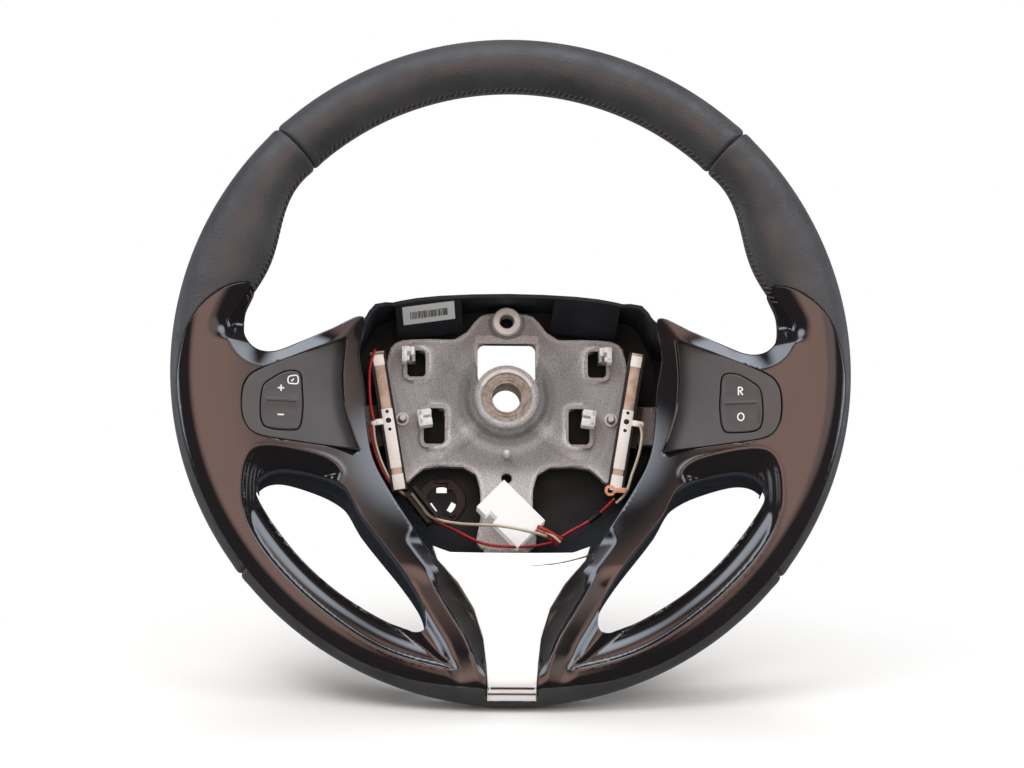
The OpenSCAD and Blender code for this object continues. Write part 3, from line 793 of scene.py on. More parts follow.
@dataclass
class SideTrims:
    """The gloss trims of both sides: spoke, lower rim and the leg beside the insert."""

    LEAF = [
        (-149.3, -74.7), (-147.3, -85.3), (-142.5, -97.3), (-131.5, -113), (-114.5, -130.6),
        (-95, -146.2), (-75.5, -158.4), (-56.1, -166.2), (-31.6, -171.2), (-41.1, -161.9),
        (-49.5, -151.6), (-54.9, -141.5), (-62.7, -124), (-77.1, -98.4), (-89.4, -77.2), (-96.1, -67.3),
        (-94.4, -59.6), (-101, -53.2), (-116.6, -49), (-134.8, -47), (-143.9, -50.1), (-148.4, -59.8),
    ]
    KEEL = [
        (-57, -104), (-50.5, -111.5), (-46, -119.3), (-41.2, -128.7), (-34.1, -140.9), (-26.9, -153),
        (-22, -165), (-18.5, -178), (-16.6, -190),
    ]
    steps: int = 10
    lip_w: float = 7.6
    keel_slope: float = 0.85
    outer_slope: float = 0.42
    leaf_slope: float = 0.9
    leaf_depth: float = 11.0
    hide_gap: float = 1.8
    panel_gap: float = 0.45
    pairs: list[tuple[Array, Array]] = field(default_factory=list)

    def __post_init__(self) -> None:
        """Fills the rows of outer point and opening point, and the lines that features follow."""
        edge, inner, bay = SIZE.rim_r - SIZE.edge_w, SIZE.inner_r, SIZE.half_bay
        side = -SIZE.insert_w / 2 - SIZE.joint
        rows = [
            (polar(edge, 196), (-140.2, -67)), (polar(edge, 204), polar(inner, 207.5)),
            (polar(edge, 213), polar(inner, 214)), (polar(edge, 223), polar(inner, 223)),
            (polar(edge, 233), polar(inner, 232)), (polar(edge, 243), polar(inner, 241)),
            (polar(edge - 1, 252), polar(inner + 0.4, 248.5)), (polar(edge - 3, 259), (-53, -150.5)),
            (polar(edge - 4, 264.3), (-49.2, -150)), ((side, 5 - edge), (-47.4, -147)),
            ((side - 0.8, -169), (-47.4, -142.5)), ((side - 2.5, -154), (-48.5, -137)),
            ((-21.5, -137), (-51, -130.5)), ((-30, -122.5), (-56.5, -121)), ((-41.5, -109), (-64, -110)),
            ((-54, -91), (-73.5, -97.5)), ((13 - bay, -65), (-83.5, -84)),
            ((6 - bay, -50), (-88.5, -74.5)), ((3 - bay, -34), (-92, -69)),
            ((1.5 - bay, -12), (-95.5, -66.2)), ((-1.5 - bay, 8), (-99.5, -64)),
            ((0.5 - bay, 30), (-104, -62.2)), ((-101, 22.2), (-109.5, -60.7)),
            ((-117, 14.5), (-115.5, -59.4)), ((-132, 8.3), (-121.5, -58.5)),
            ((-142.5, 9.5), (-126, -58.2)), ((-148.6, 17.5), (-129, -58.4)),
            ((-148.8, 31), (-131.6, -58.9)), (polar(inner - 8, 162.7), (-133.8, -59.7)),
            (polar(edge - 23, 164.6), (-135.6, -60.6)), (polar(edge - 12, 168.7), (-137.1, -61.6)),
            (polar(edge - 5, 173.3), (-138.4, -62.7)), (polar(edge - 2, 178), (-139.4, -63.8)),
            (polar(edge, 183), (-140.2, -64.7)), (polar(edge, 189.5), (-140.8, -65.7)),
        ]
        self.pairs = [(np.array(u, float), np.array(o, float)) for u, o in rows]
        self.outline, self.opening = (spline([p[k] for p in self.pairs], self.steps) for k in range(2))
        self.lip = self.outline[20 * self.steps + 6:28 * self.steps + 1]
        self.brim = self.outline[12 * self.steps:16 * self.steps]
        self.leaf = spline(self.LEAF, 12)
        self.keel = spline(self.KEEL, 12, False)

    def height(self, xz: Array) -> Array:
        """Works out the trims' face, with its lips, steps and ridges.

        Args:
            xz: points of the wheel's face.

        Returns:
            Y at each point.
        """
        x, z = xz.T
        r = np.linalg.norm(xz, axis=1)
        half = SIZE.width(np.degrees(np.arcsin(z / r))) / 2
        across = (r - SIZE.rim_r + half) / (half + 0.4)
        tube = SIZE.crest * np.sqrt(np.clip(1 - across ** 2, 0.02, 1)) + 0.25
        # Above the spoke the face joins the rim's section.
        on_rim = smooth((z - 12) / 14) * smooth((r - 143) / 5)
        h = SIZE.face(xz)
        h = h * (1 - on_rim) + np.minimum(h, tube) * on_rim
        # The lip falls along the upper hand opening, and the brim beside the bay's lower corner.
        away = nearest(xz, self.lip, False)[0]
        lip = bend(self.lip_w + 2.4 * smooth((-112 - x) / 20) - 9 * smooth((z - 12) / 26) - away, 0.5)
        h -= 0.5 * lip + 0.007 * lip**2
        away = nearest(xz, self.brim, False)[0]
        brim = bend(7.5 * smooth((z + 140) / 12) * smooth((-88 - z) / 12) - away, 0.5)
        h -= 0.5 * brim
        # The keel is the ridge of the leg, with a steep side towards the insert.
        side, k = nearest(xz, self.keel, False)
        run = np.diff(self.keel, axis=0)[k]
        to = xz - self.keel[k]
        inner = run[:, 1] * to[:, 0] < run[:, 0] * to[:, 1]
        on_keel = smooth((z + 184) / 22) * smooth((-112 - z) / 14)
        fall = bend(side - 0.1, 0.5)
        outer = self.outer_slope * np.minimum(fall, 8) * smooth((16 - side) / 7)
        h -= on_keel * np.where(inner, self.keel_slope * np.minimum(fall, 9), outer)
        # The leaf sinks in steps round the lower opening, but stays over the leather on the rim.
        d = signed(xz, self.leaf)
        deep = bend(-d, 1.1)
        steps = self.leaf_slope * deep + 0.12 * np.sin(np.clip(deep - 2, 0, None) * 2 * np.pi / 3.8)
        over_hide = tube - self.hide_gap - 20 * smooth((161 - r) / 4)
        sunk = h - np.minimum(steps, self.leaf_depth)
        h = np.where(deep > 0, np.maximum(sunk, np.minimum(over_hide, h)), h)
        h += 0.45 * np.exp(-((d / 1.5) ** 2))
        return SIZE.rim_y - h

    def build(self) -> None:
        """Makes both trims, open under the switch panels."""
        hole = grown(SwitchPad().outline(), self.panel_gap)
        shape = plate(self.outline, self.height, SIZE.rim_y + SIZE.trim_back, [self.opening, hole],
                      [self.leaf[12:110], self.keel[20:70]], 1.2, 0.5)
        dress(shape.piece("left_gloss_trim", 50), PIANO, ["left_trim"])
        dress(shape.mirrored().piece("right_gloss_trim", 50), PIANO, ["right_trim"])


@dataclass
class SwitchPad:
    """The satin panels with their rocker keys."""

    FREE = [(-92.6, 16.6), (-104, 12), (-117, 6.4), (-139, -3.4), (-147, -10), (-149.4, -20), (-147.8, -33),
            (-140, -40.5), (-117, -43.6), (-101, -45.2), (-84.6, -47)]
    INNER = [(-84.6, -47), (-88.8, -36), (-92.8, -22), (-94.2, -6), (-93.6, 6), (-92.6, 16.6)]
    KEY_LINE = [
        (-0.5, -0.12), (-0.46, -0.38), (-0.3, -0.48), (0.2, -0.5), (0.43, -0.44), (0.5, -0.1),
        (0.48, 0.2), (0.42, 0.48), (0.12, 0.5), (-0.22, 0.37), (-0.44, 0.22),
    ]
    key_at: tuple[float, float] = (-127.6, -20.8)
    key_w: float = 23.0
    key_h: float = 33.0
    sunk: float = 0.2
    proud: float = 0.45
    key_gap: float = 0.6
    panel_wall: float = 6.0
    key_wall: float = 7.0
    ink: float = 0.03

    def outline(self) -> Array:
        """The panel's outline, anticlockwise, with its two sharp corners towards the hub."""
        return np.vstack([spline(self.FREE, 8, False)[:-1], spline(self.INNER, 8, False)[:-1]])

    def panel_y(self, xz: Array) -> Array:
        """Y of the panel's face."""
        return SIZE.rim_y - SIZE.face(xz) + self.sunk

    def key_y(self, xz: Array) -> Array:
        """Works out the key's face, which is dished above and below its bar.

        Args:
            xz: points of the wheel's face.

        Returns:
            Y at each point.
        """
        u = (xz[:, 0] - self.key_at[0]) / self.key_w
        v = (xz[:, 1] - self.key_at[1]) / self.key_h
        bar = smooth((0.36 - np.abs(u)) / 0.02) * smooth((0.022 - np.abs(v)) / 0.008)
        dish = 0.5 * smooth(np.abs(v) / 0.16) * smooth((0.52 - np.abs(v)) / 0.2)
        return SIZE.rim_y - SIZE.face(xz) - self.proud + dish * smooth((0.5 - np.abs(u)) / 0.15) - 0.45 * bar

    def mark(self, strokes: Sequence[Array], width: float) -> Shape:
        """Makes flat strokes on a key.

        Args:
            strokes: lines about the key's middle.
            width: width of the strokes.

        Returns:
            The strokes, a little proud of the key.
        """
        parts = []
        for line in strokes:
            line = np.asarray(line, float) + self.key_at
            e = np.gradient(line, axis=0)
            e /= np.linalg.norm(e, axis=1, keepdims=True)
            n = np.column_stack([-e[:, 1], e[:, 0]]) * width / 2
            parts.append(loft(np.array([raised(p, self.key_y(p) - self.ink) for p in (line - n, line + n)])))
        return joined(parts)

    def build(self) -> None:
        """Makes the panels, the keys and their marks."""
        key = np.array(self.key_at) + spline(self.KEY_LINE, 10) * [self.key_w, self.key_h]
        face = plate(self.outline(), self.panel_y, SIZE.rim_y - self.panel_wall,
                     [grown(key, self.key_gap)], (), 2.2, 0.35)
        dress(face.piece("left_panel"), SATIN, ["left_switch_panel"])
        dress(face.mirrored().piece("right_panel"), SATIN, ["right_switch_panel"])
        bar = np.array([(-8.4, 0), (8.4, 0)]) + self.key_at
        top = plate(key, self.key_y, SIZE.rim_y - self.key_wall, (), [spline(bar, 20, False)], 0.8, 0.7)
        dress(top.piece("left_key_cap"), KEY, ["left_rocker"], "left_key")
        dress(top.mirrored().piece("right_key_cap"), KEY, ["right_rocker"], "right_key")
        # Plus, minus and a small dial sign on the left key.
        signs = [[(-2.2, 7), (1.4, 7)], [(-0.4, 5.2), (-0.4, 8.8)], [(-2.2, -8.2), (1.4, -8.2)]]
        square = spline([(3.6, 10.2), (3.6, 13.2), (5.6, 14.2), (8.6, 14.2), (8.8, 10.2), (6, 9.8)], 5)
        icon = [np.vstack([square, square[:1]]), [(5.2, 11), (6.6, 12.6)]]
        left = self.mark(signs, 0.8) + self.mark(icon, 0.7)
        dress(left.piece("left_key_marks"), MARK, (), "left_key")
        # A ring and the letter R on the right key, drawn as their mirror images.
        ring = [(0.4 + 1.7 * math.cos(a), -7.8 + 2.1 * math.sin(a)) for a in np.linspace(0, 2 * math.pi, 25)]
        bowl = [(1.2 - 1.9 * math.sin(a), 8 + 1.15 * math.cos(a)) for a in np.linspace(0, math.pi, 13)]
        letter = [[(1.5, 4.6), (1.5, 9.3)], [(1.5, 9.15), *bowl, (1.5, 6.85)], [(0.6, 6.8), (-0.9, 4.6)]]
        right = self.mark([ring] + letter, 0.75)
        dress(right.mirrored().piece("right_key_marks"), MARK, (), "right_key")


@dataclass
class Rim:
    """The leather panels round the rim and the seam along its inner side."""

    ENDS = (0, 0.02, 0.1, 0.3, 0.6, 1.0, 1.5, 2.2, 3.0)
    trims: SideTrims
    around: int = 144
    rows: float = 3.2
    edge_r: float = 1.6
    swell: float = 0.22
    groove: float = 0.55
    pucker: float = 0.18
    under_trim: float = 2.5
    tuck: float = 4.5
    seam_at: float = 163.0
    pitch: float = 3.2
    reach: float = 11.0
    thread_r: float = 0.5

    def surface(self, degrees: Array, section: Array, inset: Array | float) -> Array:
        """Works out points on the rim.

        Args:
            degrees: angles round the wheel.
            section: angles round the rim's section, 0 outside and 90 towards the driver.
            inset: how far the points lie below the leather's surface.

        Returns:
            The points, one row for each angle round the wheel.
        """
        a = np.radians(degrees)[:, None]
        s = np.radians(section)[None, :]
        width = SIZE.width(np.degrees(np.arcsin(np.sin(a))))
        r = SIZE.rim_r - width / 2 + (width / 2 - inset) * np.cos(s)
        y = SIZE.rim_y - (SIZE.crest - inset) * np.sin(s)
        return np.stack([r * np.cos(a), np.broadcast_to(y, r.shape), r * np.sin(a)], -1)

    def panel(self, start: float, stop: float) -> Shape:
        """Makes a leather panel between two seams.

        Args:
            start: angle of the seam where it starts.
            stop: angle of the seam where it ends.

        Returns:
            The panel, with its ends tucked in.
        """
        gap = math.degrees(SIZE.seam_gap / 2 / SIZE.rim_r)
        mm = math.radians(1) * SIZE.ring_at
        ends = np.array(self.ENDS) / mm
        middle = np.linspace(start + gap + ends[-1], stop - gap - ends[-1], int((stop - start) * self.rows))
        angles = np.r_[start + gap + ends, middle[1:-1], stop - gap - ends[::-1]]
        away = np.minimum(angles - start - gap, stop - gap - angles) * mm
        s = np.linspace(0, 360, self.around, endpoint=False)
        inset = (rounded(away, self.edge_r) - self.swell * np.exp(-(((away - 3.2) / 2.2) ** 2)))[:, None]
        inset = inset + self.groove * np.exp(-(((s - self.seam_at) / 2.2) ** 2))[None, :]
        inset = inset - self.pucker * np.exp(-(((np.abs(s - self.seam_at) - 9) / 5) ** 2))[None, :]
        # The leather sinks where a trim or the insert lies over it.
        plain = self.surface(angles, s, 0).reshape(-1, 3)
        flat = np.column_stack([-np.abs(plain[:, 0]), plain[:, 2]])
        over = smooth((0.5 - signed(flat, self.trims.outline)) / 0.7)
        centre = (flat[:, 1] < -100) & (np.abs(flat[:, 0]) < SIZE.insert_w / 2 + 1)
        over = np.where(centre, smooth((SIZE.rim_r - 2.0 + flat[:, 1]) / 0.7), over)
        over = over * smooth((SIZE.rim_y + SIZE.trim_back + 0.8 - plain[:, 1]) / 0.8)
        inset = inset + self.under_trim * over.reshape(len(angles), -1)
        rows = self.surface(angles, s, inset)
        tuck = [self.surface(angles[[k]], s, self.tuck)[0] for k in (0, -1)]
        return loft(np.concatenate([tuck[:1], rows, tuck[1:]]), ring=True)

    def stitches(self, start: float, stop: float) -> Shape:
        """Makes the thread that closes the seam.

        Args:
            start: angle at which the thread starts.
            stop: angle at which it ends.

        Returns:
            All the stitches between the two.
        """
        count = int(math.radians(stop - start) * SIZE.inner_r / self.pitch)
        lean = math.degrees(self.pitch * 0.45 / SIZE.inner_r)
        t = np.linspace(-1, 1, 7)
        stitch = list(zip(t, self.seam_at + self.reach * t, 0.5 - 0.85 * (1 - t**4)))
        parts = []
        for k in range(count):
            a = start + (stop - start) * (k + 0.5) / count
            path = [self.surface(np.array([a + lean * ti]), np.array([si]), li)[0, 0]
                    for ti, si, li in stitch]
            parts.append(tube(np.array(path), self.thread_r, 6))
        return joined(parts)

    def build(self) -> None:
        """Makes the panels and the stitching."""
        top, low = SIZE.upper_seam, SIZE.lower_seam
        spans = {
            "leather_upper": (90 - top, 90 + top), "leather_left_grip": (90 + top, 180 + low),
            "leather_lower": (180 + low, 360 - low), "leather_right_grip": (-low, 90 - top),
        }
        for node, (start, stop) in spans.items():
            dress(self.panel(start, stop).piece(f"{node}_hide"), GRIP_LEATHER, [node])
        runs = ((14, 90 - top - 0.6), (90 - top + 0.6, 90 + top - 0.6), (90 + top + 0.6, 166))
        dress(joined(self.stitches(*run) for run in runs).piece("inner_seam_thread"), THREAD)


@dataclass
class Insert:
    """The bright insert between the trims' legs."""

    LINE = ((10, -111), (15.3, -111.3), (26.3, -110.1), (38.4, -107.2), (46, -103))
    # The curve of painted shade beside the moulded line, and the bars of painted shade on the end band's
    # edges.
    SHADE = ((9, -111.7), (15.3, -111.9), (26.3, -110.7), (38.4, -107.8), (43, -105.9))
    BARS = ((-182.1, -181.1), (-185, -183.9))
    trims: SideTrims
    top: float = -104.5
    sunk: float = 0.4
    band_at: float = -183.0
    lift: float = 0.05

    def outline(self) -> Array:
        """Lays out the insert's outline between the trims.

        Returns:
            The outline, anticlockwise.
        """
        edge = [p[0] + np.array([SIZE.joint + 0.2, 0]) for p in reversed(self.trims.pairs[9:16])]
        left = [np.array([-34, self.top]), np.array([-43.5, self.top + 3.5]), *edge[1:],
                np.array([-SIZE.insert_w / 2, -SIZE.rim_r + 2.2])]
        right = [p * [-1, 1] for p in reversed(left)]
        return np.array(left + right)

    def height(self, xz: Array) -> Array:
        """Works out the insert's face, with its moulded line and its end band.

        Args:
            xz: points of the wheel's face.

        Returns:
            Y at each point.
        """
        dip = 0.5 * np.exp(-((nearest(xz, spline(self.LINE, 8, False), False)[0] / 0.5) ** 2))
        band = smooth((2 - np.abs(xz[:, 1] - self.band_at)) / 0.4)
        return SIZE.rim_y - SIZE.face(xz) + self.sunk + dip + 0.8 * band

    def build(self) -> None:
        """Makes the insert and the painted shade lines on it."""
        outline = self.outline()
        fine = []
        for p, q in zip(outline, np.roll(outline, -1, 0)):
            n = max(1, int(np.linalg.norm(q - p) / 3))
            fine += [p + (q - p) * i / n for i in range(n)]
        shape = plate(np.array(fine), self.height, SIZE.rim_y + SIZE.trim_back, (), (), 1.2, 0.5)
        dress(shape.piece("bright_insert"), CHROME, ["lower_insert"])
        half = SIZE.insert_w / 2 - 0.3
        x = np.linspace(-half, half, 13)
        parts = []
        # Dark bars along the two edges of the end band: painted shade.
        for low, high in self.BARS:
            rows = [np.column_stack([x, np.full(13, z)]) for z in (high, low)]
            parts.append(loft(np.array([raised(row, self.height(row) - self.lift) for row in rows])))
        # A dark tube beside the moulded line, wider towards its end: painted shade.
        curve = spline(self.SHADE, 8, False)
        parts.append(tube(raised(curve, self.height(curve) - 0.06), np.linspace(0.16, 0.5, len(curve)), 8))
        dress(joined(parts).piece("insert_lines"), DARK_LINE)


@dataclass
class Hub:
    """The cast armature's open middle, with its bush, boss, pockets and hooks."""

    HALF = [(-11.5, 49.3), (-18, 45.3), (-23, 38.6), (-30, 34.6), (-44, 34.4), (-58, 33.8), (-66.5, 29.5),
            (-70, 12), (-69, -8), (-67, -28), (-63.5, -45), (-60, -49.3), (-56.5, -49.3), (-53, -46),
            (-47.5, -41.6), (-38, -40.2), (-25, -40.6), (-18, -44.6), (-15.2, -54), (-15, -70), (-15, -88)]
    HOOKS = (
        (56.0, 24.0, 0, (((4.8, 9.2, 3.2), (-2, 0, 3.0)), ((3, 9.2, 9.2), (-3, 0, 0)),
                         ((4.2, 9.2, 2.6), (-2.2, 0, -2.6)), ((2.2, 9.2, 5), (1.6, 0, 1.8)))),
        (46.5, -13.0, 9, (((7.9, 9, 3.9), (-0.6, 0, 2.9)), ((7.9, 9, 4.6), (-0.6, 0, -2.6)),
                          ((3, 9, 9.6), (-3, 0, 0)))),
    )
    front: float = -19.0
    back: float = -13.0
    boss_z: float = 44.4
    bush_r: float = 14.6
    pin_r: float = 4.05
    eye_r: float = 3.2
    eye_z: float = -47.0
    post_x: float = 60.0
    bead_w: float = 1.7
    pockets: tuple[tuple[float, float, float, float], ...] = ((52, 19.6, 10.6, 15.6), (41.6, -17, 12.2, 21))

    def outline(self) -> Array:
        """The hub plate's outline, anticlockwise."""
        return spline(self.HALF + [(-x, z) for x, z in reversed(self.HALF)], 5)

    def pocket(self, p: tuple[float, float, float, float], side: int, extra: float = 0.0) -> Array:
        """Lays out a pocket's outline, rounded at its corners.

        Args:
            p: its middle and its sizes.
            side: -1 for the left pocket, 1 for the right one.
            extra: how much larger than the pocket the outline is.

        Returns:
            The outline, anticlockwise.
        """
        x, z, w, h = p
        w, h = w / 2 + extra, h / 2 + extra
        c = 3.4 + extra
        line = []
        for cx, cz, a0 in ((w - c, h - c, 0), (c - w, h - c, 90), (c - w, c - h, 180), (w - c, c - h, 270)):
            turns = [math.radians(a0 + 15 * k) for k in range(7)]
            line += [(cx + c * math.cos(a), cz + c * math.sin(a)) for a in turns]
        return np.array(line) + [side * x, z]

    def window(self) -> Array:
        """Lays out the window above the bush, with its arched lower edge.

        Returns:
            The outline, anticlockwise.
        """
        w, top, r, arch_low = 16.7, 32, 23.7, 10.0
        corner = [(w - 4 + 4 * math.cos(a), top - 4 + 4 * math.sin(a))
                  for a in np.linspace(0, math.pi / 2, 7)]
        mirrored = [(-x, z) for x, z in reversed(corner)]
        across = np.linspace(-w + 5.5, w - 5.5, 17)
        arch = [(x, max(math.sqrt(max(r * r - x * x, 0)) - 9.7, arch_low)) for x in across]
        foot_l = [(-w, 12.4), (-w + 0.9, 8.6), (-w + 3.2, 7.2)]
        foot_r = [(-x, z) for x, z in reversed(foot_l)]
        return np.array(corner + mirrored + foot_l + arch + foot_r)

    def height(self, xz: Array) -> Array:
        """Works out the casting's face, with its beads, bosses and hollows.

        Args:
            xz: points of the wheel's face.

        Returns:
            Y at each point.
        """
        x, z = np.abs(xz[:, 0]), xz[:, 1]
        r = np.hypot(x, z)
        # The dish's rim and the collar round the bush, and the boss above them.
        rise = 1.6 * smooth((25 - r) / 4) + 1.0 * smooth((19.5 - r) / 1.5)
        rise += 2.0 * smooth((10.5 - np.hypot(x, z - self.boss_z)) / 1.5)
        mirrored = np.column_stack([x, z])
        for p in self.pockets:
            rise += 1.7 * self.bead(mirrored, p)
        # The hollow round the window, and the ribs towards the lower and upper pockets.
        d = signed(mirrored, np.array([(-18, 6), (18, 6), (18, 36), (-18, 36)]))
        rise -= 0.9 * smooth((1.5 - d) / 3)
        wide = nearest(mirrored, np.array([(16, -14), (40, -36)]), False)[0]
        rise += 1.1 * np.exp(-((wide / 5) ** 2))
        wide = nearest(mirrored, np.array([(20, 12), (44, 32)]), False)[0]
        rise += 1.0 * np.exp(-((wide / 6) ** 2))
        # The cast skin is slightly uneven.
        rise += 0.12 * np.sin(x * 0.9 + z * 0.3) * np.sin(z * 0.7 - x * 0.2)
        return self.front - rise - 0.2

    def bead(self, mirrored: Array, p: tuple[float, float, float, float]) -> Array:
        """How strongly points lie on the bead round a pocket, which is open towards the wheel's side."""
        d = nearest(mirrored, self.pocket(p, 1, 2.0))[0]
        return np.exp(-((d / self.bead_w) ** 2)) * smooth((p[0] + p[2] / 2 - 1 - mirrored[:, 0]) / 4)

    def tone(self, xz: Array) -> Array:
        """Works out the casting's painted light and shade: painted shade in the dish round the bush, painted
        highlights on the collar, the beads, the outer edge and the ribs, and lighter towards the lower arm.

        Args:
            xz: points of the wheel's face.

        Returns:
            The factor of the casting's colour at each point.
        """
        mirrored = np.column_stack([np.abs(xz[:, 0]), xz[:, 1]])
        r = np.hypot(xz[:, 0], xz[:, 1])
        # Painted shade in the dish, with a painted highlight on its collar, then painted highlights on the
        # pockets' beads.
        tone = 1.12 - 0.36 * smooth((52 - r) / 14) - 0.2 * smooth((29.5 - r) / 2.2)
        tone += 0.5 * smooth((19.5 - r) / 1.5)
        tone += 0.5 * smooth((17 - r) / 1)
        for p in self.pockets:
            tone += 1.15 * self.bead(mirrored, p)
        # Lighter towards the lower arm, then painted highlights on the outer edge, the arc under the bush and
        # the lower ribs.
        tone += 0.45 * smooth((-38 - xz[:, 1]) / 10)
        tone += 0.5 * smooth((3 - nearest(xz, self.outline())[0]) / 2)
        tone += 0.3 * np.exp(-(((r - 31) / 2.5) ** 2)) * smooth((-xz[:, 1] - 8) / 12)
        tone += 0.35 * np.exp(-((nearest(mirrored, np.array([(20, -18), (52, -42)]), False)[0] / 4) ** 2))
        return tone

    def hooks(self) -> Shape:
        """Makes the blasted faces of the four hooks beside the pockets.

        Returns:
            All four as one shape.
        """
        parts = []
        for side in (-1, 1):
            for x, z, lean, blocks in self.HOOKS:
                for size, (across, depth, up) in blocks:
                    part = block(size, 0.7).placed((-across * side, depth, up))
                    part = part.placed((0, 0, 0), turn("Y", lean * side))
                    parts.append(part.placed((side * x, self.front - 3.9, z)))
        return joined(parts)

    def build(self, frame: dict[str, Any]) -> None:
        """Makes the casting's face and the pieces that stand on it.

        Args:
            frame: what the frame's load returned.
        """
        ring = np.array([polar(self.bush_r, a) for a in np.arange(0, 360, 6)])
        hole = np.array([polar(self.pin_r, a) for a in np.arange(0, 360, 12)]) + [0, self.boss_z]
        eye = np.array([polar(self.eye_r, a) for a in np.arange(0, 360, 15)]) + [0, self.eye_z]
        pockets = [self.pocket(p, side) for p in self.pockets for side in (-1, 1)]
        holes = [ring, hole, eye, self.window()] + pockets
        face = plate(self.outline(), self.height, self.back + 0.2, holes, (), 1.1, 0.9)
        obj = face.piece("hub_casting")
        # The casting's painted light and shade goes into the tone attribute.
        tone = obj.data.attributes.new("tone", "FLOAT_COLOR", "POINT")
        value = self.tone(face.verts[:, [0, 2]])
        tone.data.foreach_set("color", np.column_stack([value] * 3 + [np.ones(len(value))]).ravel())
        dress(obj, HUB_FACE)
        # The hook faces glow a little: painted light.
        dress(self.hooks().piece("hook_faces"), HOOK)
        dress_node(frame, "armature", CASTING)
        dress_node(frame, "hub_bush", STEEL)
        dress_node(frame, "locating_pin", MACHINED)
        top = -SIZE.hub_l - 0.1
        rings = [
            (8.3, top + 1), (8.6, top), (9.4, top), (9.6, top + 0.35), (10.1, top + 0.35), (10.3, top),
            (11.3, top), (11.5, top + 0.35), (12, top + 0.35), (12.2, top), (13.2, top),
            (13.5, top + 0.4), (14.4, top + 0.5),
        ]
        dress(turned(rings, 96).piece("bush_rings"), STEEL)
        collar = turned([(14.3, top - 0.5), (14.7, top - 0.9), (16.4, top - 0.9), (17, top - 0.3),
                         (17.1, top + 1)], 96)
        dress(collar.piece("bush_collar"), MACHINED)
        lip = turned([(4.1, self.front - 3.4), (4.6, self.front - 3.9), (7.6, self.front - 3.9),
                      (8.3, self.front - 3.2), (8.5, self.front - 1)], 48).placed((0, 0, self.boss_z))
        dress(lip.piece("boss_ring"), MACHINED)
        post = turned([(0.1, -25.2), (1.5, -25.2), (2, -24.6), (2, -19)], 24)
        foot = turned([(2.6, -20.6), (3.8, -20.6), (4.2, -19.8), (4.3, -19)], 24)
        posts = joined(part.placed((side * self.post_x, 0, -13)) for side in (-1, 1) for part in (post, foot))
        dress(posts.piece("casting_posts"), MACHINED)


@dataclass
class Bowl:
    """The back cover with the sticker in its upper wall."""

    WIDTHS = (0.012, 0.018, 0.024)
    bars: int = 26
    disc: tuple[float, float] = (-37.0, -58.0)
    floor: float = -3.7

    def build(self, frame: dict[str, Any]) -> None:
        """Dresses the cover and its sticker, and makes the bars on it and the clips in the cover.

        Args:
            frame: what the frame's load returned.
        """
        dress_node(frame, "back_cover", MOULDED)
        dress_node(frame, "cover_screws", STEEL)
        # The sticker glows: painted light.
        dress_node(frame, "paper_label", PAPER)
        label = frame["nodes"]["paper_label"]
        sheet = max((f for f in label.data.polygons if f.normal.y < 0), key=lambda f: f.area)
        # The bars are laid out from the corners of the sticker's largest face.
        out = np.array(label.matrix_world.to_3x3() @ sheet.normal)
        points = np.array([label.matrix_world @ v.co for v in label.data.vertices]) / MM
        points = np.unique(points[np.abs((points - points[sheet.vertices[0]]) @ out) < 0.05].round(2), axis=0)
        far = points[points[:, 2].argmax()]
        near, side = sorted(points, key=lambda p: np.linalg.norm(p - far))[1:3]
        bars = []
        chance = np.random.default_rng(4)
        for u in np.linspace(0.14, 0.84, self.bars):
            wide, top = chance.choice(self.WIDTHS), 0.3 + chance.random() * 0.03
            corners = [far + (side - far) * s + (near - far) * t + out * 0.04 for s, t in
                       ((u, top), (u + wide, top), (u + wide, 0.72), (u, 0.72))]
            bars.append(Shape(np.array(corners), [(0, 1, 2, 3)]))
        dress(joined(bars).piece("label_bars"), INK)
        floor = self.floor
        ring = turned([(8.4, floor + 0.4), (8.8, floor - 0.4), (13.6, floor - 0.4), (14.2, floor + 0.4)], 64)
        arm = block((7.6, 1.6, 2.6), 0.4).placed((0, floor - 1, 11.6))
        arm = arm + block((2, 3, 4), 0.4).placed((4.4, floor - 1.2, 8.4))
        clips = joined([ring] + [arm.placed((0, 0, 0), turn("Y", angle)) for angle in (120, 235, 0)])
        dress(clips.placed((self.disc[0], 0, self.disc[1])).piece("disc_clips"), CLIP)


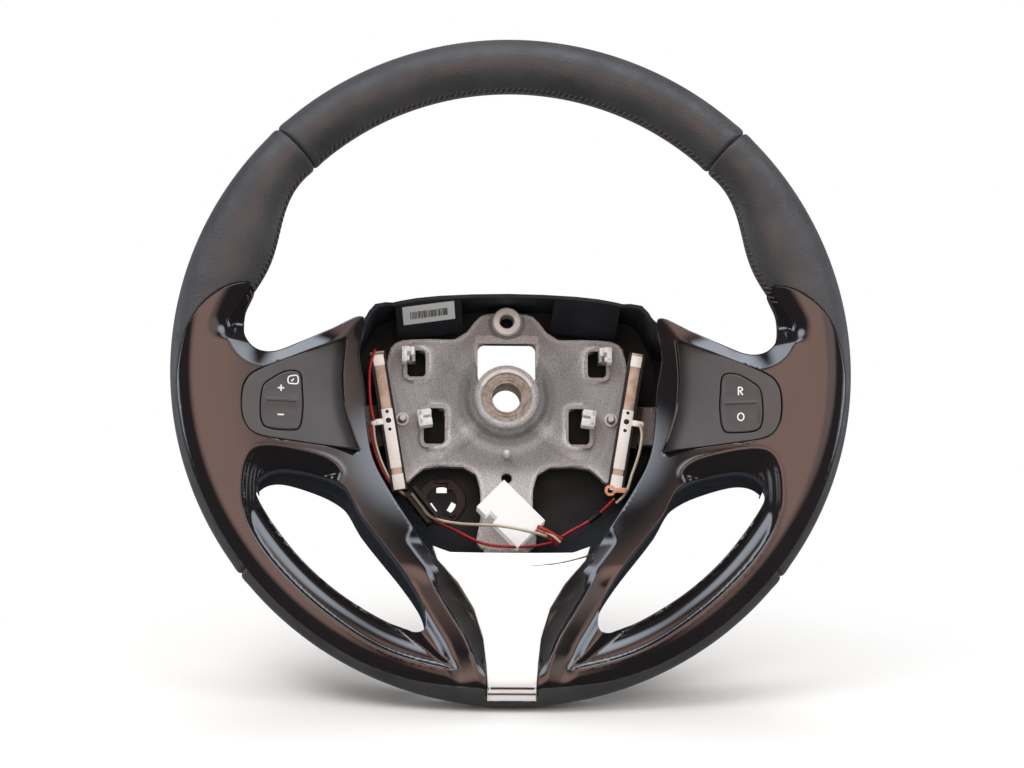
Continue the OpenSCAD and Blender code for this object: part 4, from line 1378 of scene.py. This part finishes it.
@dataclass
class Horn:
    """The horn contacts on their carriers."""

    tilt: float = 9.4
    at: tuple[float, float] = (-68.0, -17.0)
    front: float = -35.9
    tinned: tuple[tuple[float, float, float], ...] = ((32.5, 39, 6.2), (-28, 7, 6.4), (-40.5, -31.5, 6.6))
    rubbed: tuple[tuple[float, float, float], ...] = ((7, 32.5, 5.8), (-31.5, -28, 6), (39, 40.5, 6.2))

    def local(self, shape: Shape, side: int) -> Shape:
        """A shape in the strip's own frame, moved to one side of the wheel."""
        placed = shape.placed((0, 0, 0), turn("Y", -self.tilt)).placed((self.at[0], 0, self.at[1]))
        return placed if side < 0 else placed.mirrored()

    def bars(self, spans: Sequence[tuple[float, float, float]], lift: float) -> Shape:
        """Makes stretches of the strip.

        Args:
            spans: the lower end, the upper end and the width of each stretch.
            lift: how far the stretches stand out.

        Returns:
            The stretches as one shape.
        """
        y = self.front + 0.15 - lift
        return joined(block((width, 0.9, high - low), 0.3).placed((0, y, (low + high) / 2))
                      for low, high, width in spans)

    def build(self, frame: dict[str, Any]) -> None:
        """Makes the contact strips and dresses their carriers.

        Args:
            frame: what the frame's load returned.
        """
        edge = self.front - 0.6
        dimple = turned([(0.1, -1), (1.4, -0.8), (1.7, 0), (1.4, 0.8), (0.1, 1)], 16)
        tab = block((5.4, 0.9, 3.4), 0.3).placed((-5.2, self.front + 0.1, 0))
        dimples = joined(dimple.placed((x, self.front - 0.2, 0)) for x in (-6.4, -8.4))
        strip = self.bars(self.tinned, 0.12) + tab + dimples
        holes = joined(
            turned([(0.05, self.front - 0.46), (r, self.front - 0.46), (r + 0.12, self.front - 0.36)], 24)
            .placed((0, 0, z)) for z, r in ((0, 1.55), (5.2, 0.95), (-5.2, 0.95))
        )
        for side, word in ((-1, "left"), (1, "right")):
            dress_node(frame, f"{word}_contact_carrier", CLIP)
            dress_node(frame, f"{word}_switch_body", CLIP)
            # The tinned strip faces glow a little: painted light.
            dress(self.local(strip, side).piece(f"{word}_strip_face"), TIN, [f"{word}_contact_strip"])
            rubbed = self.bars(self.rubbed, 0)
            if side < 0:
                roll = tube(np.array([(-4.2, edge, 39.6), (0, edge - 0.1, 39.9), (3.6, edge, 39.6)]), 1.0, 12)
                rubbed = rubbed + roll
            dress(self.local(rubbed, side).piece(f"{word}_strip_rubbed"), BARE_TIN)
            dress(self.local(holes, side).piece(f"{word}_strip_holes"), CLIP)


@dataclass
class Harness:
    """The wires, the plug housing and what holds them."""

    SIDE = ((-78.5, -36, -19), (-77, -35, -30), (-72.5, -34, -43), (-66, -33, -54), (-58, -30, -60))
    APART = (1.8, -0.6, -0.6)
    ENDS = (
        ("wire_sleeve", CLIP, 1.7, 14, (((53, -35.2, -69.6), (50, -34, -72), (46.6, -33.4, -74.4)),)),
        ("red_lead_ends", RED, 1.2, 12, (((17, -36, -78), (24, -37, -81.5), (31, -36.5, -85.5)),
                                         ((16, -34, -80), (23, -35, -84), (29, -34.5, -88)))),
        ("cream_lead_end", CREAM, 0.8, 12, (((17, -35, -79.2), (25, -37.4, -83.2), (30, -37.6, -87.4)),)),
    )
    wire_d: float = 1.8
    routes: dict[str, tuple[tuple[float, float, float], ...]] = field(default_factory=lambda: {
        "red_wire_left": ((-76, -38, 24), (-79, -36.9, 12), (-78.5, -36.9, -6), (-76.5, -36.9, -17.5)),
        "red_wire_lower": ((-54.54, -26, -57.81), (-49, -26, -64.9), (-42.85, -26, -72.2), (-30, -26, -78.5),
                           (-12, -28, -87), (10, -28, -88.4), (26, -28, -86)),
        "cream_wire_lower": (
            (-54.54, -28, -57.81), (-49, -28, -64.9), (-42.85, -28, -71.6), (-28, -30, -75.5),
            (-4, -40, -78.5), (14, -40, -82), (22, -38, -84),
        ),
        "red_wire_right": ((61, -38, -62), (50, -34, -72), (36, -32, -80), (26, -36, -86), (20, -38, -82)),
        "cream_wire_right": (
            (75.5, -36.9, -18.2), (76.8, -36.9, -25), (75, -37, -36), (71, -36, -48), (67.6, -35, -58),
            (62, -34, -64),
        ),
    })

    def build(self, frame: dict[str, Any]) -> None:
        """Makes the wires and dresses what they run to.

        Args:
            frame: what the frame's load returned.
        """
        for node, route in self.routes.items():
            path = spline(route, 10, False)
            lead = tube(path, self.wire_d / 2, 12).piece(f"{node}_lead")
            dress(lead, RED if "red" in node else CREAM, [node])
        # The leads beside the left carrier, the sleeve, and the leads' ends at the plug.
        left = spline(self.SIDE, 10, False)
        dress(tube(left, 0.85, 12).piece("red_lead_side"), RED)
        dress(tube(left + self.APART, 0.8, 12).piece("cream_lead_side"), CREAM)
        for name, finish, radius, sides, routes in self.ENDS:
            parts = joined(tube(spline(route, 8, False), radius, sides) for route in routes)
            dress(parts.piece(name), finish)
        dress_node(frame, "cable_holder", CLIP)
        dress_node(frame, "eyelet_terminal", COPPER)
        # The connector's nylon glows: painted light.
        dress_node(frame, "connector", NYLON)


@dataclass
class Studio:
    """The camera at the photograph's angle, the floor and the light."""

    distance: float = 2.5
    elevation: float = -12.0
    azimuth: float = -1.9
    lens: float = 157.5
    sensor: float = 36.0
    aim: tuple[float, float, float] = (0.0004, -0.1, -0.0087)
    lean: float = 24.0
    ambient: float = 0.62
    floor_r: float = 1.3
    fade: tuple[float, float] = (0.1, 0.34)
    AMBIENT = (1, 0.99, 0.98, 1)
    LAMP_AIM = (0, -0.09, 0)
    LAMPS = (
        ("key", (-1.2, -1.6, 1.7), (1.4, 1.0), 26), ("fill", (1.5, -1.4, 0.9), (1.0, 1.4), 12),
        ("top", (0.1, 0.3, 2.0), (1.6, 0.8), 18),
    )
    FLOOR = ((0, (0.9, 0.885, 0.87)), (1, (0.93, 0.915, 0.9)))
    DARK = (0.045, 0.05, 0.062)
    ROOM = (
        ((-0.08, -1, 0.1), (3, 38), (2.5, 1.6, 1.35)),
        ((0.5, -0.8, 0.3), (6, 24), (1.5, 1.15, 1.05)),
        ((0, -0.5, 0.87), (9, 24), (4.6, 5.0, 5.6)),
        ((0.6, -0.45, 0.66), (6, 22), (3.6, 3.9, 4.4)),
        ((-0.6, -0.45, 0.66), (6, 22), (3.6, 3.9, 4.4)),
        ((-0.97, 0.25, 0.1), (6, 24), (2.6, 2.9, 3.3)),
        ((0.97, 0.25, 0.1), (6, 24), (2.2, 2.5, 2.8)),
        ((0, -0.62, -0.79), (8, 26), (1.1, 1.15, 1.25)),
    )

    def camera(self) -> None:
        """Places the camera."""
        data = bpy.data.cameras.new("camera")
        data.lens, data.sensor_width = self.lens, self.sensor
        data.clip_start, data.clip_end = 0.05, 50
        cam = bpy.data.objects.new("camera", data)
        bpy.context.scene.collection.objects.link(cam)
        a, e = math.radians(self.azimuth), math.radians(self.elevation)
        away = Vector((math.sin(a) * math.cos(e), -math.cos(a) * math.cos(e), math.sin(e)))
        cam.location = Vector((0, SIZE.rim_y * MM, 0)) + self.distance * away
        cam.rotation_euler = (Vector(self.aim) - cam.location).to_track_quat("-Z", "Y").to_euler()
        bpy.context.scene.camera = cam

    def world(self) -> None:
        """Makes the soft light from all round, the room in the gloss, and the white behind the object."""
        world = bpy.data.worlds.new("studio")
        bpy.context.scene.world = world
        world.use_nodes = True
        tree = world.node_tree
        tree.nodes.clear()
        ray = add(tree, "ShaderNodeLightPath", {}).outputs
        where = add(tree, "ShaderNodeTexCoord", {}).outputs["Generated"]
        color: Any = (*self.DARK, 1)
        for direction, (near, far), tone in self.ROOM:
            dot = add(tree, "ShaderNodeVectorMath", {0: where, 1: Vector(direction).normalized()},
                      operation="DOT_PRODUCT")
            spot = soft_range(dot.outputs["Value"], math.cos(math.radians(far)), math.cos(math.radians(near)))
            color = add(tree, "ShaderNodeMix", {"Factor": spot, "A": color, "B": (*tone, 1)},
                        data_type="RGBA").outputs["Result"]
        soft, room, white = (
            add(tree, "ShaderNodeBackground", {"Color": c, "Strength": s}).outputs["Background"]
            for c, s in ((self.AMBIENT, self.ambient), (color, 1), (WHITE, 1))
        )
        seen = add(tree, "ShaderNodeMath", {0: ray["Is Camera Ray"], 1: ray["Is Transmission Ray"]},
                   operation="MAXIMUM")
        light = blend(ray["Is Glossy Ray"], soft, room)
        add(tree, "ShaderNodeOutputWorld", {"Surface": blend(seen.outputs["Value"], light, white)})

    def lamp(self, name: str, at: Sequence[float], size: tuple[float, float], watts: float) -> None:
        """Makes a soft rectangular lamp that faces the wheel.

        Args:
            name: the lamp's name.
            at: its place, in metres.
            size: its width and height, in metres.
            watts: its power.
        """
        data = bpy.data.lights.new(name, "AREA")
        data.shape = "RECTANGLE"
        data.size, data.size_y = size
        data.energy = watts
        lamp = bpy.data.objects.new(name, data)
        bpy.context.scene.collection.objects.link(lamp)
        lamp.visible_glossy = False
        lamp.location = at
        lamp.rotation_euler = (Vector(self.LAMP_AIM) - Vector(at)).to_track_quat("-Z", "Y").to_euler()

    def floor(self) -> None:
        """Makes the pale floor under the rim, which fades into the white round it."""
        lean = math.radians(self.lean)
        mesh = bpy.data.meshes.new("floor")
        rings, sides = 40, 64
        turns = np.linspace(0, 2 * math.pi, sides, endpoint=False)
        verts = [(float(r * math.cos(t)), float(r * math.sin(t)), 0.0)
                 for r in np.linspace(0, self.floor_r, rings) for t in turns]
        shape = loft(np.array(verts).reshape(rings, sides, 3), ring=True)
        mesh.from_pydata(shape.verts.tolist(), [], shape.faces)
        floor = bpy.data.objects.new("floor", mesh)
        bpy.context.scene.collection.objects.link(floor)
        floor.rotation_euler = (lean, 0, 0)
        centre = Vector((0, SIZE.rim_y * MM, -SIZE.ring_at * MM))
        floor.location = centre - SIZE.crest * MM * Vector((0, -math.sin(lean), math.cos(lean)))
        mesh.materials.append(self.floor_material())

    def floor_material(self) -> bpy.types.Material:
        """Makes the floor's material: pale in the middle, white outside, and dark in the gloss.

        Returns:
            The material.
        """
        material = bpy.data.materials.new("pale_floor")
        material.use_nodes = True
        tree = material.node_tree
        where = add(tree, "ShaderNodeTexCoord", {}).outputs["Object"]
        away = add(tree, "ShaderNodeVectorMath", {0: where}, operation="LENGTH").outputs["Value"]
        grain = add(tree, "ShaderNodeTexNoise", {"Scale": 6, "Vector": where}).outputs["Fac"]
        shader = tree.nodes["Principled BSDF"]
        fill(shader, {"Roughness": 0.8, "Specular IOR Level": 0.1, "Base Color": ramp(grain, self.FLOOR)})
        glow, dark = (add(tree, "ShaderNodeEmission", {"Color": c}).outputs["Emission"]
                      for c in (WHITE, (*self.DARK, 1)))
        ground = blend(soft_range(away, *self.fade), shader.outputs["BSDF"], glow)
        ray = add(tree, "ShaderNodeLightPath", {}).outputs
        fill(tree.nodes["Material Output"], {"Surface": blend(ray["Is Glossy Ray"], ground, dark)})
        return material

    def build(self) -> None:
        """Makes the whole studio."""
        bpy.context.scene.view_settings.view_transform = "Standard"
        self.camera()
        self.world()
        for lamp in self.LAMPS:
            self.lamp(*lamp)
        self.floor()


def main() -> None:
    """Builds the wheel and its studio."""
    logging.basicConfig(level=logging.INFO, format="%(message)s")
    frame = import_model()
    Studio().build()
    trims = SideTrims()
    trims.build()
    SwitchPad().build()
    Rim(trims).build()
    Insert(trims).build()
    Hub().build(frame)
    Bowl().build(frame)
    Horn().build(frame)
    Harness().build(frame)
    dress_node(frame, "rim_foam", FOAM)
    bpy.context.view_layer.update()


if __name__ == "__main__":
    main()
